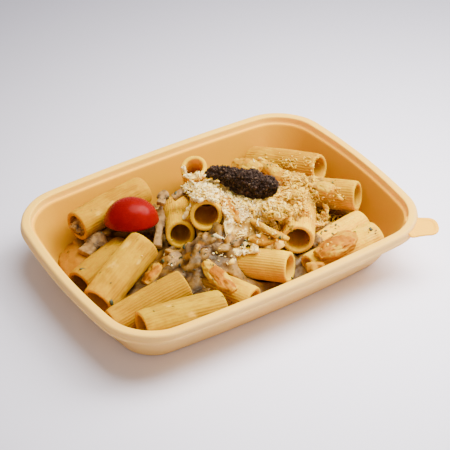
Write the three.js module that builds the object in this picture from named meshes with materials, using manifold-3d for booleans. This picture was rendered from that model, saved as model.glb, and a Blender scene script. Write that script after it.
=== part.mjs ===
// A ready meal: rigatoni in cream sauce with chicken, mushrooms, half a cherry tomato, grated cheese
// and a spoonful of olive tapenade, in a moulded tray with a lid ledge, a skirt and a lift tab.
// Millimetres, +Z up. The origin is the middle of the tray's flat base, +X runs along its long side.

import * as THREE from 'three';
import Module from 'manifold-3d';

const wasm = await Module();
wasm.setup();

// Driving dimensions of the tray
const TRAY_LENGTH = 190;
const TRAY_WIDTH = 138;
const TRAY_HEIGHT = 30;
const CORNER_RADIUS = 25;
const WALL = 0.9;
const FLANGE = 5.2;
const SKIRT_HEIGHT = 4.9;
const LEDGE_DROP = 3.8;
const LEDGE_WIDTH = 1.8;
const LEDGE_INSET = FLANGE + LEDGE_WIDTH;
const LEDGE_Z = TRAY_HEIGHT - LEDGE_DROP;
const BASE_THICKNESS = 1.2;
const BASE_INSET_X = 14.2;
const BASE_INSET_Y = 16.9;
const BASE_RADIUS = 14;
const SHORT_SIDE_BOW = 6;
const LONG_SIDE_BOW = 3.3;
const CORNER_STEPS = 5;
const LONG_STEPS = 6;
const SHORT_STEPS = 4;

// Driving dimensions of the pasta
const RIDGES = 16;
const RIDGE_DEPTH = 0.45;
const PASTA_WALL = 2.0;
const BORE_SIDES = 8;
const PASTA_STEPS = 2;

// Room left between pieces that touch
const GAP = 0.35;

// Every rigatone: the middle of its near end and of its far end, its outside diameter, its bend,
// and how far the mouth at its near end is kept free
const RIGATONI = [
  { near: [-61.5, 42.0, 20.8], far: [-17.6, 50.4, 20.8], across: 16.6, bend: 0.5, free: 6 },
  { near: [-78.0, -9.3, 13.7], far: [-43.1, 5.0, 24.8], across: 17.6, bend: 0.8, free: 4 },
  { near: [-78.3, 9.5, 11.0], far: [-46.5, 20.2, 12.6], across: 17.0, bend: 0.6, free: 4 },
  { near: [-78.6, -25.8, 10.8], far: [-39.2, -27.7, 19.1], across: 16.6, bend: 0.6, free: 1 },
  { near: [-72.0, -42.4, 18.4], far: [-30.2, -47.8, 16.2], across: 17.0, bend: 0.7, free: 4 },
  { near: [-10.0, -2.5, 34.7], far: [10.6, 30.4, 18.8], across: 17.0, bend: 0.5, free: 8 },
  { near: [-21.5, 4.2, 22.7], far: [-3.2, 37.8, 11.0], across: 15.6, bend: 0.4, free: 8 },
  { near: [26.7, -32.2, 22.9], far: [47.1, -6.1, 16.3], across: 16.8, bend: 0.4, free: 7 },
  { near: [12.6, -44.6, 19.4], far: [-11.9, -10.8, 11.4], across: 16.0, bend: 0.8, free: 5 },
  { near: [-12.8, -49.6, 11.8], far: [-25.8, -19.8, 10.8], across: 16.0, bend: 0.4, free: 1 },
  { near: [72.1, 12.1, 23.2], far: [54.0, 49.8, 13.2], across: 16.4, bend: 0.6, free: 6 },
  { near: [74.9, -18.5, 22.4], far: [49.2, 15.7, 15.1], across: 17.0, bend: 0.5, free: 6 },
  { near: [70.9, -28.9, 12.6], far: [42.0, -31.7, 10.8], across: 15.2, bend: 0.4, free: 4 },
  { near: [66.5, -45.9, 17.0], far: [24.6, -46.9, 14.4], across: 16.2, bend: 0.6, free: 2 },
  { near: [9.3, 40.3, 31.6], far: [17.0, 48.5, 9.8], across: 14.6, bend: 0.2, free: 5 },
];

// Swells of the sauce that fills the tray between the pasta and rises to a heap in the middle:
// where each is, how far it reaches along X and Y, and how high it stands over the thin layer
const SAUCE_LAYER = 4;
const SAUCE_SWELLS = [
  { at: [14, 5], reach: [30, 25], rise: 25 },
  { at: [-52, 6], reach: [34, 34], rise: 7 },
  { at: [-17, -20], reach: [19, 17], rise: 12 },
  { at: [46, -34], reach: [27, 15], rise: 10 },
  { at: [62, 28], reach: [18, 20], rise: 8 },
  { at: [-34, 42], reach: [26, 13], rise: 7 },
  { at: [-60, -38], reach: [26, 13], rise: 5 },
];

// Strips and chunks of roast chicken: the two ends of each, its width and thickness
const CHICKEN = [
  { from: [26.5, -49.8, 24.0], to: [50.0, -49.4, 27.2], width: 13.5, thick: 7.6 },
  { from: [19.0, -51.0, 20.5], to: [27.5, -54.0, 20.5], width: 7, thick: 5.0 },
  { from: [9.5, -14.0, 31.0], to: [16.5, -38.0, 30.6], width: 4.2, thick: 3.2 },
  { from: [-26.0, -26.0, 26.4], to: [-23.0, -48.0, 22.6], width: 9, thick: 5.4 },
  { from: [45.0, 29.0, 28.0], to: [46.0, 6.0, 30.5], width: 7.5, thick: 6.0 },
  { from: [17.0, -13.0, 34.5], to: [29.0, -22.5, 33.5], width: 11, thick: 6.0 },
  { from: [56.0, -9.0, 31.5], to: [60.0, -18.0, 31.0], width: 8, thick: 4.0 },
  { from: [2.0, 1.0, 38.0], to: [2.6, -12.0, 31.0], width: 7, thick: 5.0 },
  { from: [3.0, -22.0, 26.0], to: [15.0, -30.0, 27.0], width: 7, thick: 4.5 },
  { from: [-51.5, -9.0, 13.2], to: [-38.0, -2.0, 14.6], width: 7, thick: 5.0 },
  { from: [34.0, 38.0, 26.0], to: [38.0, 20.0, 32.0], width: 10, thick: 7.0 },
];

// Slices of mushroom: the foot and the top of each, its width across the cap and its thickness
const MUSHROOMS = [
  { from: [-65.5, 28.5, 13.6], to: [-51.0, 34.5, 15.4], width: 10, thick: 3.6 },
  { from: [-20.5, -14.0, 22.0], to: [-9.0, -12.6, 25.6], width: 9, thick: 5.0 },
  { from: [-34.0, 7.0, 17.6], to: [-19.0, 27.5, 24.4], width: 5.4, thick: 4.6 },
  { from: [-22.0, 23.0, 31.0], to: [-16.0, 29.0, 32.0], width: 6.4, thick: 3.2 },
  { from: [-15.5, 21.0, 33.0], to: [-3.0, 20.0, 38.5], width: 6, thick: 3.6 },
  { from: [-35.5, -10.0, 16.6], to: [-28.0, -5.0, 19.4], width: 9, thick: 4.0 },
  { from: [-7.0, -14.0, 24.6], to: [-1.0, -20.5, 25.4], width: 8, thick: 4.4 },
  { from: [76.5, 10.5, 11.6], to: [70.0, 2.0, 11.4], width: 7, thick: 4.0 },
  { from: [-25.0, -15.6, 18.0], to: [-16.0, -20.0, 19.0], width: 7, thick: 4.4 },
];

// Half a cherry tomato, cut face down
const TOMATO = { at: [-38.8, 24.6, 24.9], radii: [14.4, 12.8, 13.2], yaw: -30, pitch: 12 };

// The drift of grated cheese over the heap
const CHEESE = { at: [22, -3], reach: [40, 32], thick: 2.2, shreds: 24 };

// The spoonful of tapenade on top
const TAPENADE = { at: [16.4, 4.6, 39.6], half: [20.5, 6.8, 6.6], yaw: -44, lumps: 14 };

// The lift tab at the corner of the rim
const TAB = { root: [74.5, -60.0], reach: 17, width: 15.5, thick: 1.1, top: 28.9, yaw: -30 };

const meal = new THREE.Group();

// A seeded random number between low and high
function randomSource(seed) {
  let state = seed;
  return (low, high) => {
    state = (state * 1664525 + 1013904223) % 4294967296;
    return low + (high - low) * state / 4294967296;
  };
}

// A closed solid from shared points and triangles, turned so that its faces point out
function solid(points, faces) {
  let volume = 0;
  for (const [a, b, c] of faces) {
    volume += points[a].dot(new THREE.Vector3().crossVectors(points[b], points[c]));
  }
  const turned = volume < 0 ? faces.map(([a, b, c]) => [a, c, b]) : faces;
  const vertProperties = new Float32Array(points.flatMap((p) => [p.x, p.y, p.z]));
  const triVerts = new Uint32Array(turned.flat());
  return new wasm.Manifold(new wasm.Mesh({ numProp: 3, vertProperties, triVerts }));
}

// A solid through rings of equal count, closed at both ends by fans
function loft(rings) {
  const count = rings[0].length;
  const points = rings.flat();
  const faces = [];
  for (let ring = 0; ring < rings.length - 1; ring++) {
    for (let i = 0; i < count; i++) {
      const a = ring * count + i;
      const b = ring * count + (i + 1) % count;
      faces.push([a, b, b + count], [a, b + count, a + count]);
    }
  }
  const last = (rings.length - 1) * count;
  for (const [start, swap] of [[0, true], [last, false]]) {
    const middle = new THREE.Vector3();
    for (let i = 0; i < count; i++) {
      middle.addScaledVector(points[start + i], 1 / count);
    }
    points.push(middle);
    for (let i = 0; i < count; i++) {
      const a = start + i;
      const b = start + (i + 1) % count;
      faces.push(swap ? [points.length - 1, b, a] : [points.length - 1, a, b]);
    }
  }
  return solid(points, faces);
}

// The largest connected body of a solid
function largest(shape) {
  const bodies = shape.decompose();
  return bodies.reduce((best, body) => (body.volume() > best.volume() ? body : best));
}

function place(name, shape, color, roughness) {
  const { vertProperties, triVerts } = shape.getMesh();
  const geometry = new THREE.BufferGeometry();
  geometry.setAttribute('position', new THREE.BufferAttribute(new Float32Array(vertProperties), 3));
  geometry.setIndex(new THREE.BufferAttribute(new Uint32Array(triVerts), 1));
  geometry.computeVertexNormals();
  const material = new THREE.MeshStandardMaterial({ color, roughness, metalness: 0 });
  const mesh = new THREE.Mesh(geometry, material);
  mesh.name = name;
  meal.add(mesh);
}

// One level of the tray: a rounded rectangle whose sides bow outwards in the middle
function trayRing({ insetX, insetY, radius, bowX, bowY, z }) {
  const halfX = TRAY_LENGTH / 2 - insetX;
  const halfY = TRAY_WIDTH / 2 - insetY;
  const outline = [];
  const corners = [[1, 1, 0], [-1, 1, 90], [-1, -1, 180], [1, -1, 270]];
  corners.forEach(([signX, signY, start], index) => {
    const centre = [signX * (halfX - radius), signY * (halfY - radius)];
    for (let i = 0; i <= CORNER_STEPS; i++) {
      const angle = THREE.MathUtils.degToRad(start + 90 * i / CORNER_STEPS);
      outline.push([centre[0] + radius * Math.cos(angle), centre[1] + radius * Math.sin(angle)]);
    }
    const from = outline[outline.length - 1];
    const next = corners[(index + 1) % 4];
    const to = index % 2 === 0
      ? [next[0] * (halfX - radius), from[1]]
      : [from[0], next[1] * (halfY - radius)];
    const steps = index % 2 === 0 ? LONG_STEPS : SHORT_STEPS;
    for (let i = 1; i < steps; i++) {
      outline.push([from[0] + (to[0] - from[0]) * i / steps, from[1] + (to[1] - from[1]) * i / steps]);
    }
  });
  return outline.map(([x, y]) => new THREE.Vector3(
    x - Math.sign(x) * bowX * (y / halfY) ** 2 * Math.abs(x) / halfX,
    y - Math.sign(y) * bowY * (x / halfX) ** 2 * Math.abs(y) / halfY,
    z,
  ));
}

// A level of the rim, inset evenly from the outside of the flange
function rimRing(inset, z) {
  const radius = CORNER_RADIUS - inset;
  return trayRing({ insetX: inset, insetY: inset, radius, bowX: SHORT_SIDE_BOW, bowY: LONG_SIDE_BOW, z });
}

// A level of the sloping wall, from 0 at the base to 1 under the lid ledge
function wallRing(share, z, inwards) {
  const mix = (base, top) => base + (top - base) * share;
  return trayRing({
    insetX: mix(BASE_INSET_X, LEDGE_INSET - WALL) + inwards,
    insetY: mix(BASE_INSET_Y, LEDGE_INSET - WALL) + inwards,
    radius: mix(BASE_RADIUS, CORNER_RADIUS - LEDGE_INSET + WALL) - inwards,
    bowX: SHORT_SIDE_BOW,
    bowY: mix(LONG_SIDE_BOW + 0.6, LONG_SIDE_BOW),
    z,
  });
}

function wallShare(z) {
  return THREE.MathUtils.clamp((z - BASE_THICKNESS) / (LEDGE_Z - WALL - BASE_THICKNESS), 0, 1);
}

function liftTab() {
  const yaw = THREE.MathUtils.degToRad(TAB.yaw);
  const along = new THREE.Vector3(Math.cos(yaw), Math.sin(yaw), 0);
  const across = new THREE.Vector3(-Math.sin(yaw), Math.cos(yaw), 0);
  const root = new THREE.Vector3(...TAB.root, 0);
  const tip = TAB.width / 2;
  const outline = [root.clone().addScaledVector(across, -tip - 1.5)];
  for (let i = 0; i <= 8; i++) {
    const angle = Math.PI * (i / 8 - 0.5);
    const squared = Math.sign(Math.sin(angle)) * Math.abs(Math.sin(angle)) ** 0.75;
    outline.push(root.clone()
      .addScaledVector(along, TAB.reach - tip * 0.7 + tip * 0.7 * Math.cos(angle))
      .addScaledVector(across, tip * 0.92 * squared));
  }
  outline.push(root.clone().addScaledVector(across, tip + 1.5));
  const levels = [TAB.top - TAB.thick, TAB.top];
  return loft(levels.map((z) => outline.map((p) => p.clone().setZ(z))));
}

function tray() {
  const top = TRAY_HEIGHT;
  const underLedge = LEDGE_Z - WALL;
  const rings = [
    wallRing(0, 0, 3.2),
    wallRing(0, 0.35, 1.3),
    wallRing(0, 1.5, 0.1),
    wallRing(0.5, (BASE_THICKNESS + underLedge) / 2, 0),
    wallRing(1, underLedge, 0),
    rimRing(FLANGE - WALL, underLedge),
    rimRing(FLANGE - WALL, top - WALL),
    rimRing(WALL + 0.3, top - WALL),
    rimRing(WALL, top - SKIRT_HEIGHT),
    rimRing(0, top - SKIRT_HEIGHT),
    rimRing(0.25, top - 1.3),
    rimRing(0.6, top - 0.4),
    rimRing(1.5, top),
    rimRing(FLANGE - 0.6, top),
    rimRing(FLANGE, top - 0.6),
    rimRing(FLANGE + 0.2, LEDGE_Z),
    rimRing(LEDGE_INSET - 0.4, LEDGE_Z),
    wallRing(1, LEDGE_Z - 0.6, WALL),
    wallRing(0.5, (BASE_THICKNESS + LEDGE_Z) / 2, WALL),
    wallRing(0.12, 4.4, WALL),
    wallRing(0, 1.9, WALL + 1.6),
    wallRing(0, BASE_THICKNESS, WALL + 4.2),
  ];
  const inside = loft([
    rimRing(FLANGE - WALL + 0.3, top - SKIRT_HEIGHT - 5),
    rimRing(FLANGE - WALL + 0.3, top + 5),
  ]);
  return loft(rings).add(liftTab().subtract(inside));
}

// Frame of a rod between two points: unit directions along and across it
function rodFrame(from, to) {
  const along = to.clone().sub(from).normalize();
  const side = new THREE.Vector3(0, 0, 1).cross(along).normalize();
  const over = along.clone().cross(side);
  return { along, side, over };
}

// The middle of a rigatone at a share of its length, and its direction there
function pastaStation({ near, far, bend }, share) {
  const from = new THREE.Vector3(...near);
  const to = new THREE.Vector3(...far);
  const { along, side, over } = rodFrame(from, to);
  const length = from.distanceTo(to);
  const middle = from.lerp(to, share).addScaledVector(over, bend * (4 * share * (1 - share) - 0.5));
  const slope = bend * 4 * (1 - 2 * share) / length;
  const ahead = along.clone().addScaledVector(over, slope).normalize();
  return { middle, side, over: ahead.clone().cross(side), ahead };
}

function pastaRing(piece, share, sides, radiusAt, shift = 0) {
  const { middle, side, over, ahead } = pastaStation(piece, share);
  const ring = [];
  for (let i = 0; i < sides; i++) {
    const angle = 2 * Math.PI * i / sides;
    const radius = radiusAt(i);
    ring.push(middle.clone()
      .addScaledVector(side, radius * Math.cos(angle))
      .addScaledVector(over, radius * Math.sin(angle))
      .addScaledVector(ahead, shift));
  }
  return ring;
}

// A ridged tube: its skin, its bore and a ring-shaped face at each end
function rigatone(piece) {
  const outside = piece.across / 2;
  const skinSides = RIDGES * 2;
  const points = [];
  const faces = [];
  for (let step = 0; step <= PASTA_STEPS; step++) {
    const share = step / PASTA_STEPS;
    points.push(...pastaRing(piece, share, skinSides, (i) => outside - (i % 2) * RIDGE_DEPTH));
    points.push(...pastaRing(piece, share, BORE_SIDES, () => outside - RIDGE_DEPTH - PASTA_WALL));
  }
  const ringSize = skinSides + BORE_SIDES;
  for (let step = 0; step < PASTA_STEPS; step++) {
    for (const [sides, first, out] of [[skinSides, 0, true], [BORE_SIDES, skinSides, false]]) {
      for (let i = 0; i < sides; i++) {
        const a = step * ringSize + first + i;
        const b = step * ringSize + first + (i + 1) % sides;
        const quad = [[a, b, b + ringSize], [a, b + ringSize, a + ringSize]];
        faces.push(...(out ? quad : quad.map(([p, q, r]) => [p, r, q])));
      }
    }
  }
  const perBore = skinSides / BORE_SIDES;
  for (const [start, out] of [[0, true], [PASTA_STEPS * ringSize, false]]) {
    const face = (a, b, c) => {
      const corners = out ? [a, c, b] : [a, b, c];
      faces.push(corners.map((corner) => start + corner));
    };
    for (let i = 0; i < skinSides; i++) {
      face(i, (i + 1) % skinSides, skinSides + Math.floor(i / perBore));
    }
    for (let j = 0; j < BORE_SIDES; j++) {
      const next = (j + 1) % BORE_SIDES;
      face(skinSides + j, (j + 1) * perBore % skinSides, skinSides + next);
    }
  }
  return solid(points, faces);
}

// The room that a rigatone takes, with its gap and the free space before its mouth
function pastaRoom(piece, gap = GAP) {
  const sides = 8;
  const radius = (piece.across / 2 + gap + piece.bend / 2) / Math.cos(Math.PI / sides);
  const ends = [[0, -piece.free], [1, gap]];
  return loft(ends.map(([share, shift]) => pastaRing(piece, share, sides, () => radius, shift)));
}

// The height of the sauce at a place
function sauceHeight(x, y) {
  let height = SAUCE_LAYER;
  for (const { at, reach, rise } of SAUCE_SWELLS) {
    const spread = ((x - at[0]) / reach[0]) ** 2 + ((y - at[1]) / reach[1]) ** 2;
    height += rise / (1 + spread ** 2);
  }
  return height;
}

// The height of the highest rigatone over a place, or 0 beside them all
function pastaHeight(x, y) {
  let height = 0;
  for (const piece of RIGATONI) {
    for (let share = 0; share <= 1.001; share += 0.05) {
      const { middle } = pastaStation(piece, share);
      const away = Math.hypot(x - middle.x, y - middle.y);
      const radius = piece.across / 2;
      if (away < radius) {
        height = Math.max(height, middle.z + Math.sqrt(radius ** 2 - away ** 2));
      }
    }
  }
  return height;
}

function sauceBed() {
  const random = randomSource(7);
  const rings = [wallRing(0, BASE_THICKNESS + GAP, WALL + 5.4), wallRing(wallShare(3), 3, WALL + 1.4)];
  const edge = wallRing(wallShare(4.6), 4.6, WALL + 1.3);
  const shares = [1, 0.9, 0.77, 0.64, 0.51, 0.38, 0.25, 0.1];
  for (const share of shares) {
    rings.push(edge.map((p) => {
      const x = p.x * share;
      const y = p.y * share;
      const relief = share === 1 ? 0 : random(-0.7, 0.7);
      return new THREE.Vector3(x, y, share === 1 ? 4.6 : Math.max(4.6, sauceHeight(x, y) + relief));
    }));
  }
  return loft(rings);
}

// An uneven chunk along a line, thicker in the middle, with blunt ends
function chunk({ from, to, width, thick }, seed, grow = 0) {
  const random = randomSource(seed);
  const start = new THREE.Vector3(...from);
  const stop = new THREE.Vector3(...to);
  const { along, side, over } = rodFrame(start, stop);
  const swell = [0.55, 0.95, 1.05, 1, 0.5];
  const sides = 8;
  const bow = random(-0.08, 0.08) * start.distanceTo(stop);
  const rings = swell.map((size, step) => {
    const share = step / (swell.length - 1);
    const middle = start.clone().lerp(stop, share).addScaledVector(side, bow * 4 * share * (1 - share));
    const end = step === 0 ? -grow : step === swell.length - 1 ? grow : 0;
    const ring = [];
    for (let i = 0; i < sides; i++) {
      const angle = 2 * Math.PI * (i + 0.5) / sides;
      const rough = random(0.86, 1.12);
      ring.push(middle.clone()
        .addScaledVector(side, (width / 2 * size * rough + grow) * Math.cos(angle))
        .addScaledVector(over, (thick / 2 * size * rough + grow) * Math.sin(angle))
        .addScaledVector(along, end));
    }
    return ring;
  });
  return loft(rings);
}

// A slice of mushroom: a stem that widens to a cap, of even thickness
function mushroomSlice({ from, to, width, thick }, seed, grow = 0) {
  const random = randomSource(seed);
  const start = new THREE.Vector3(...from);
  const stop = new THREE.Vector3(...to);
  const { along, side, over } = rodFrame(start, stop);
  const length = start.distanceTo(stop);
  const profile = [[0, 0.24], [0.46, 0.22], [0.56, 0.5], [0.74, 0.47], [0.92, 0.26], [1, 0.1]];
  const bow = random(-0.06, 0.06) * length;
  const rings = profile.map(([share, half], step) => {
    const end = step === 0 ? -grow : step === profile.length - 1 ? grow : 0;
    const middle = start.clone().addScaledVector(along, share * length + end);
    middle.addScaledVector(over, bow * 4 * share * (1 - share));
    const reach = half * width * random(0.92, 1.08) + grow;
    const rise = thick / 2 * random(0.85, 1) + grow;
    const corners = [[1, 0], [0.75, 1], [-0.75, 1], [-1, 0], [-0.75, -1], [0.75, -1]];
    return corners.map(([u, v]) => middle.clone()
      .addScaledVector(side, u * reach)
      .addScaledVector(over, v * rise));
  });
  return loft(rings);
}

// Half a tomato: a dome over its cut face
function tomatoHalf(grow = 0) {
  const rings = [];
  const sides = 22;
  const tip = THREE.MathUtils.degToRad(-TOMATO.pitch);
  const turn = new THREE.Euler(tip, 0, THREE.MathUtils.degToRad(TOMATO.yaw), 'ZXY');
  const levels = [[0.93, 0], [1, 0.1], [0.96, 0.32], [0.82, 0.6], [0.56, 0.84], [0.24, 0.97]];
  for (const [spread, rise] of levels) {
    const ring = [];
    for (let i = 0; i < sides; i++) {
      const angle = 2 * Math.PI * i / sides;
      const [a, b, c] = TOMATO.radii;
      const point = new THREE.Vector3(
        (a + grow) * spread * Math.cos(angle),
        (b + grow) * spread * Math.sin(angle),
        rise === 0 ? -grow : c * rise + grow,
      );
      ring.push(point.applyEuler(turn).add(new THREE.Vector3(...TOMATO.at)));
    }
    rings.push(ring);
  }
  return loft(rings);
}

// The height of what the cheese falls on
function heapHeight(x, y) {
  return Math.max(sauceHeight(x, y), pastaHeight(x, y));
}

// Drifted cheese: a layer that follows the heap, cut clear of what stands out of it, with shreds on it
function gratedCheese(clear) {
  const random = randomSource(31);
  const count = 24;
  const under = [];
  const upper = [];
  const shares = [0.12, 0.34, 0.54, 0.72, 0.87, 0.98];
  for (const share of shares) {
    const low = [];
    const high = [];
    for (let i = 0; i < count; i++) {
      const angle = 2 * Math.PI * i / count;
      const ragged = share > 0.9 ? random(0.86, 1.08) : share > 0.7 ? random(0.96, 1.04) : 1;
      const x = CHEESE.at[0] + CHEESE.reach[0] * share * ragged * Math.cos(angle);
      const y = CHEESE.at[1] + CHEESE.reach[1] * share * ragged * Math.sin(angle);
      const base = heapHeight(x, y) + 0.9;
      low.push(new THREE.Vector3(x, y, base));
      const layer = CHEESE.thick * (1 - share ** 3) + random(0.2, 1.0);
      high.push(new THREE.Vector3(x, y, base + layer));
    }
    under.push(low);
    upper.push(high);
  }
  let drift = largest(loft([...under, ...upper.reverse()]).subtract(clear));
  for (let i = 0; i < CHEESE.shreds; i++) {
    const angle = random(0, 2 * Math.PI);
    const share = Math.sqrt(random(0, 0.8));
    const x = CHEESE.at[0] + CHEESE.reach[0] * share * Math.cos(angle);
    const y = CHEESE.at[1] + CHEESE.reach[1] * share * Math.sin(angle);
    if (Math.hypot(x - TAPENADE.at[0], y - TAPENADE.at[1]) < TAPENADE.half[0] * 0.9) {
      continue;
    }
    const z = heapHeight(x, y) + CHEESE.thick * (1 - share ** 3) + 1.4;
    const heading = random(0, 2 * Math.PI);
    const half = random(2.4, 4.6);
    const step = new THREE.Vector3(Math.cos(heading), Math.sin(heading), random(-0.25, 0.25));
    step.multiplyScalar(half);
    const middle = new THREE.Vector3(x, y, z);
    const shred = shredSolid(middle.clone().sub(step), middle.clone().add(step), random(1.2, 1.9));
    if (shred.intersect(clear).isEmpty() && !shred.intersect(drift).isEmpty()) {
      drift = drift.add(shred);
    }
  }
  return drift;
}

function shredSolid(start, stop, width) {
  const { side, over } = rodFrame(start, stop);
  const corners = [[1, 0.5], [-1, 0.5], [-1, -0.5], [1, -0.5]];
  return loft([start, stop].map((middle) => corners.map(([u, v]) => middle.clone()
    .addScaledVector(side, u * width / 2)
    .addScaledVector(over, v * width))));
}

// A lumpy spoonful: a low mound with olive bits standing out of it
function tapenade() {
  const random = randomSource(53);
  const yaw = THREE.MathUtils.degToRad(TAPENADE.yaw);
  const [halfX, halfY, rise] = TAPENADE.half;
  const centre = new THREE.Vector3(...TAPENADE.at);
  const spot = (u, v, height) => new THREE.Vector3(u * halfX, v * halfY, height)
    .applyAxisAngle(new THREE.Vector3(0, 0, 1), yaw)
    .add(centre);
  const levels = [[0.8, -6], [0.98, -1.5], [0.92, rise * 0.4], [0.68, rise * 0.8], [0.26, rise]];
  const sides = 18;
  let mound = loft(levels.map(([spread, height]) => {
    const ring = [];
    for (let i = 0; i < sides; i++) {
      const angle = 2 * Math.PI * i / sides;
      const rough = spread * random(0.92, 1.06);
      ring.push(spot(rough * Math.cos(angle), rough * Math.sin(angle), height + random(-0.5, 0.5)));
    }
    return ring;
  }));
  for (let i = 0; i < TAPENADE.lumps; i++) {
    const angle = 2 * Math.PI * i * 0.381966;
    const share = Math.sqrt((i + 0.5) / TAPENADE.lumps) * 0.92;
    const height = rise * (1 - share ** 2.4) * 0.98;
    const lump = new THREE.IcosahedronGeometry(random(1.9, 2.9), 0);
    const at = spot(share * Math.cos(angle), share * Math.sin(angle), height);
    lump.rotateX(random(0, 3));
    lump.rotateY(random(0, 3));
    lump.translate(at.x, at.y, at.z);
    mound = mound.add(fromGeometry(lump));
  }
  return mound;
}

// A solid from a three.js geometry, its shared corners found by their place
function fromGeometry(geometry) {
  const position = geometry.attributes.position;
  const points = [];
  const known = new Map();
  const corners = [];
  for (let i = 0; i < position.count; i++) {
    const point = new THREE.Vector3().fromBufferAttribute(position, i);
    const key = point.toArray().map((value) => value.toFixed(3)).join(' ');
    if (!known.has(key)) {
      known.set(key, points.length);
      points.push(point);
    }
    corners.push(known.get(key));
  }
  const faces = [];
  for (let i = 0; i < corners.length; i += 3) {
    faces.push(corners.slice(i, i + 3));
  }
  return solid(points, faces);
}

// What is laid first keeps its form, and what is laid round it is cut to leave the gap
const pastaRooms = RIGATONI.map((piece) => pastaRoom(piece));
const allPasta = pastaRooms.reduce((sum, room) => sum.add(room));
let taken = allPasta.add(tomatoHalf(GAP));

function lay(name, shape, room, color, roughness) {
  place(name, largest(shape.subtract(taken)), color, roughness);
  taken = taken.add(room);
}

place('tray', tray(), 0xecd0ac, 0.5);
RIGATONI.forEach((piece, index) => {
  place(`rigatone_${String(index + 1).padStart(2, '0')}`, rigatone(piece), 0xe2b552, 0.45);
});
place('tomato_half', tomatoHalf(), 0xc01a10, 0.15);
CHICKEN.forEach((piece, index) => {
  const seed = 101 + index;
  const name = `chicken_${String(index + 1).padStart(2, '0')}`;
  lay(name, chunk(piece, seed), chunk(piece, seed, GAP), 0xe0b590, 0.55);
});
MUSHROOMS.forEach((piece, index) => {
  const seed = 201 + index;
  const room = mushroomSlice(piece, seed, GAP);
  lay(`mushroom_${index + 1}`, mushroomSlice(piece, seed), room, 0x9a7c66, 0.5);
});
const bed = sauceBed();
const cheese = gratedCheese(taken.add(bed.translate([0, 0, GAP])));
place('sauce_bed', largest(bed.subtract(taken)), 0xd8b48c, 0.4);
place('grated_cheese', cheese, 0xeadcb4, 0.7);
const spoonful = tapenade().subtract(cheese.translate([0, 0, GAP])).subtract(taken);
place('olive_tapenade', largest(spoonful), 0x2a1c18, 0.5);

export default meal;
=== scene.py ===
# A ready meal in a moulded tray: ridged pasta tubes in cream sauce with roast chicken, mushrooms,
# half a cherry tomato, grated cheese and olive tapenade. Lengths are in millimetres up to the
# point where a mesh is made, which is in metres.
import math

import bpy
import numpy as np
from mathutils import Matrix, Vector
from mathutils.bvhtree import BVHTree
from mathutils.kdtree import KDTree


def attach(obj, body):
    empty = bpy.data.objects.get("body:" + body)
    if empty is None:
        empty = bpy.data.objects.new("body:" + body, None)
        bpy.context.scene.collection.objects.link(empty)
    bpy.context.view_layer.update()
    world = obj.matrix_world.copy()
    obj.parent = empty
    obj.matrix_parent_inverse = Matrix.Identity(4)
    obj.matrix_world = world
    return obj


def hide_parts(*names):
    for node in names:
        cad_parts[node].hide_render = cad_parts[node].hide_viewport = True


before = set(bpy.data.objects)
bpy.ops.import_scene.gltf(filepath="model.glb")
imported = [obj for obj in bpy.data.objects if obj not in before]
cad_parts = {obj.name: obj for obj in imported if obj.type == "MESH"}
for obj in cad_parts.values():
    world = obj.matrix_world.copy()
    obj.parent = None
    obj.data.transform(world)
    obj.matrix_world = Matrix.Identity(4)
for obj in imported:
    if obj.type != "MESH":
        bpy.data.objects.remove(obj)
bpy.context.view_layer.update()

MM = 0.001

# The camera: its focal length and sensor, the picture's width, what it looks at and from how far
LENS, SENSOR, PICTURE = 118.62, 36.0, 450.0
LOOKS_AT, DISTANCE = (17.84, 22.89, 0.0), 807.3

# The tray, as in the part's source
TRAY_LENGTH, TRAY_WIDTH, TRAY_HEIGHT = 190.0, 138.0, 30.0
CORNER_RADIUS = 25.0
WALL = 0.9
FLANGE = 5.2
SKIRT_HEIGHT = 4.9
LEDGE_INSET = FLANGE + 1.8
LEDGE_Z = TRAY_HEIGHT - 3.8
BASE_THICKNESS = 1.2
BASE_INSET_X, BASE_INSET_Y, BASE_RADIUS = 14.2, 16.9, 14.0
SHORT_SIDE_BOW, LONG_SIDE_BOW = 6.0, 3.3
CORNER_STEPS, LONG_STEPS, SHORT_STEPS = 10, 26, 18
TAB_ROOT, TAB_YAW, TAB_TOP = (74.5, -60.0), -30.0, 28.9
TAB_REACH, TAB_WIDTH, TAB_THICK = 17.0, 15.5, 1.1

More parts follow.
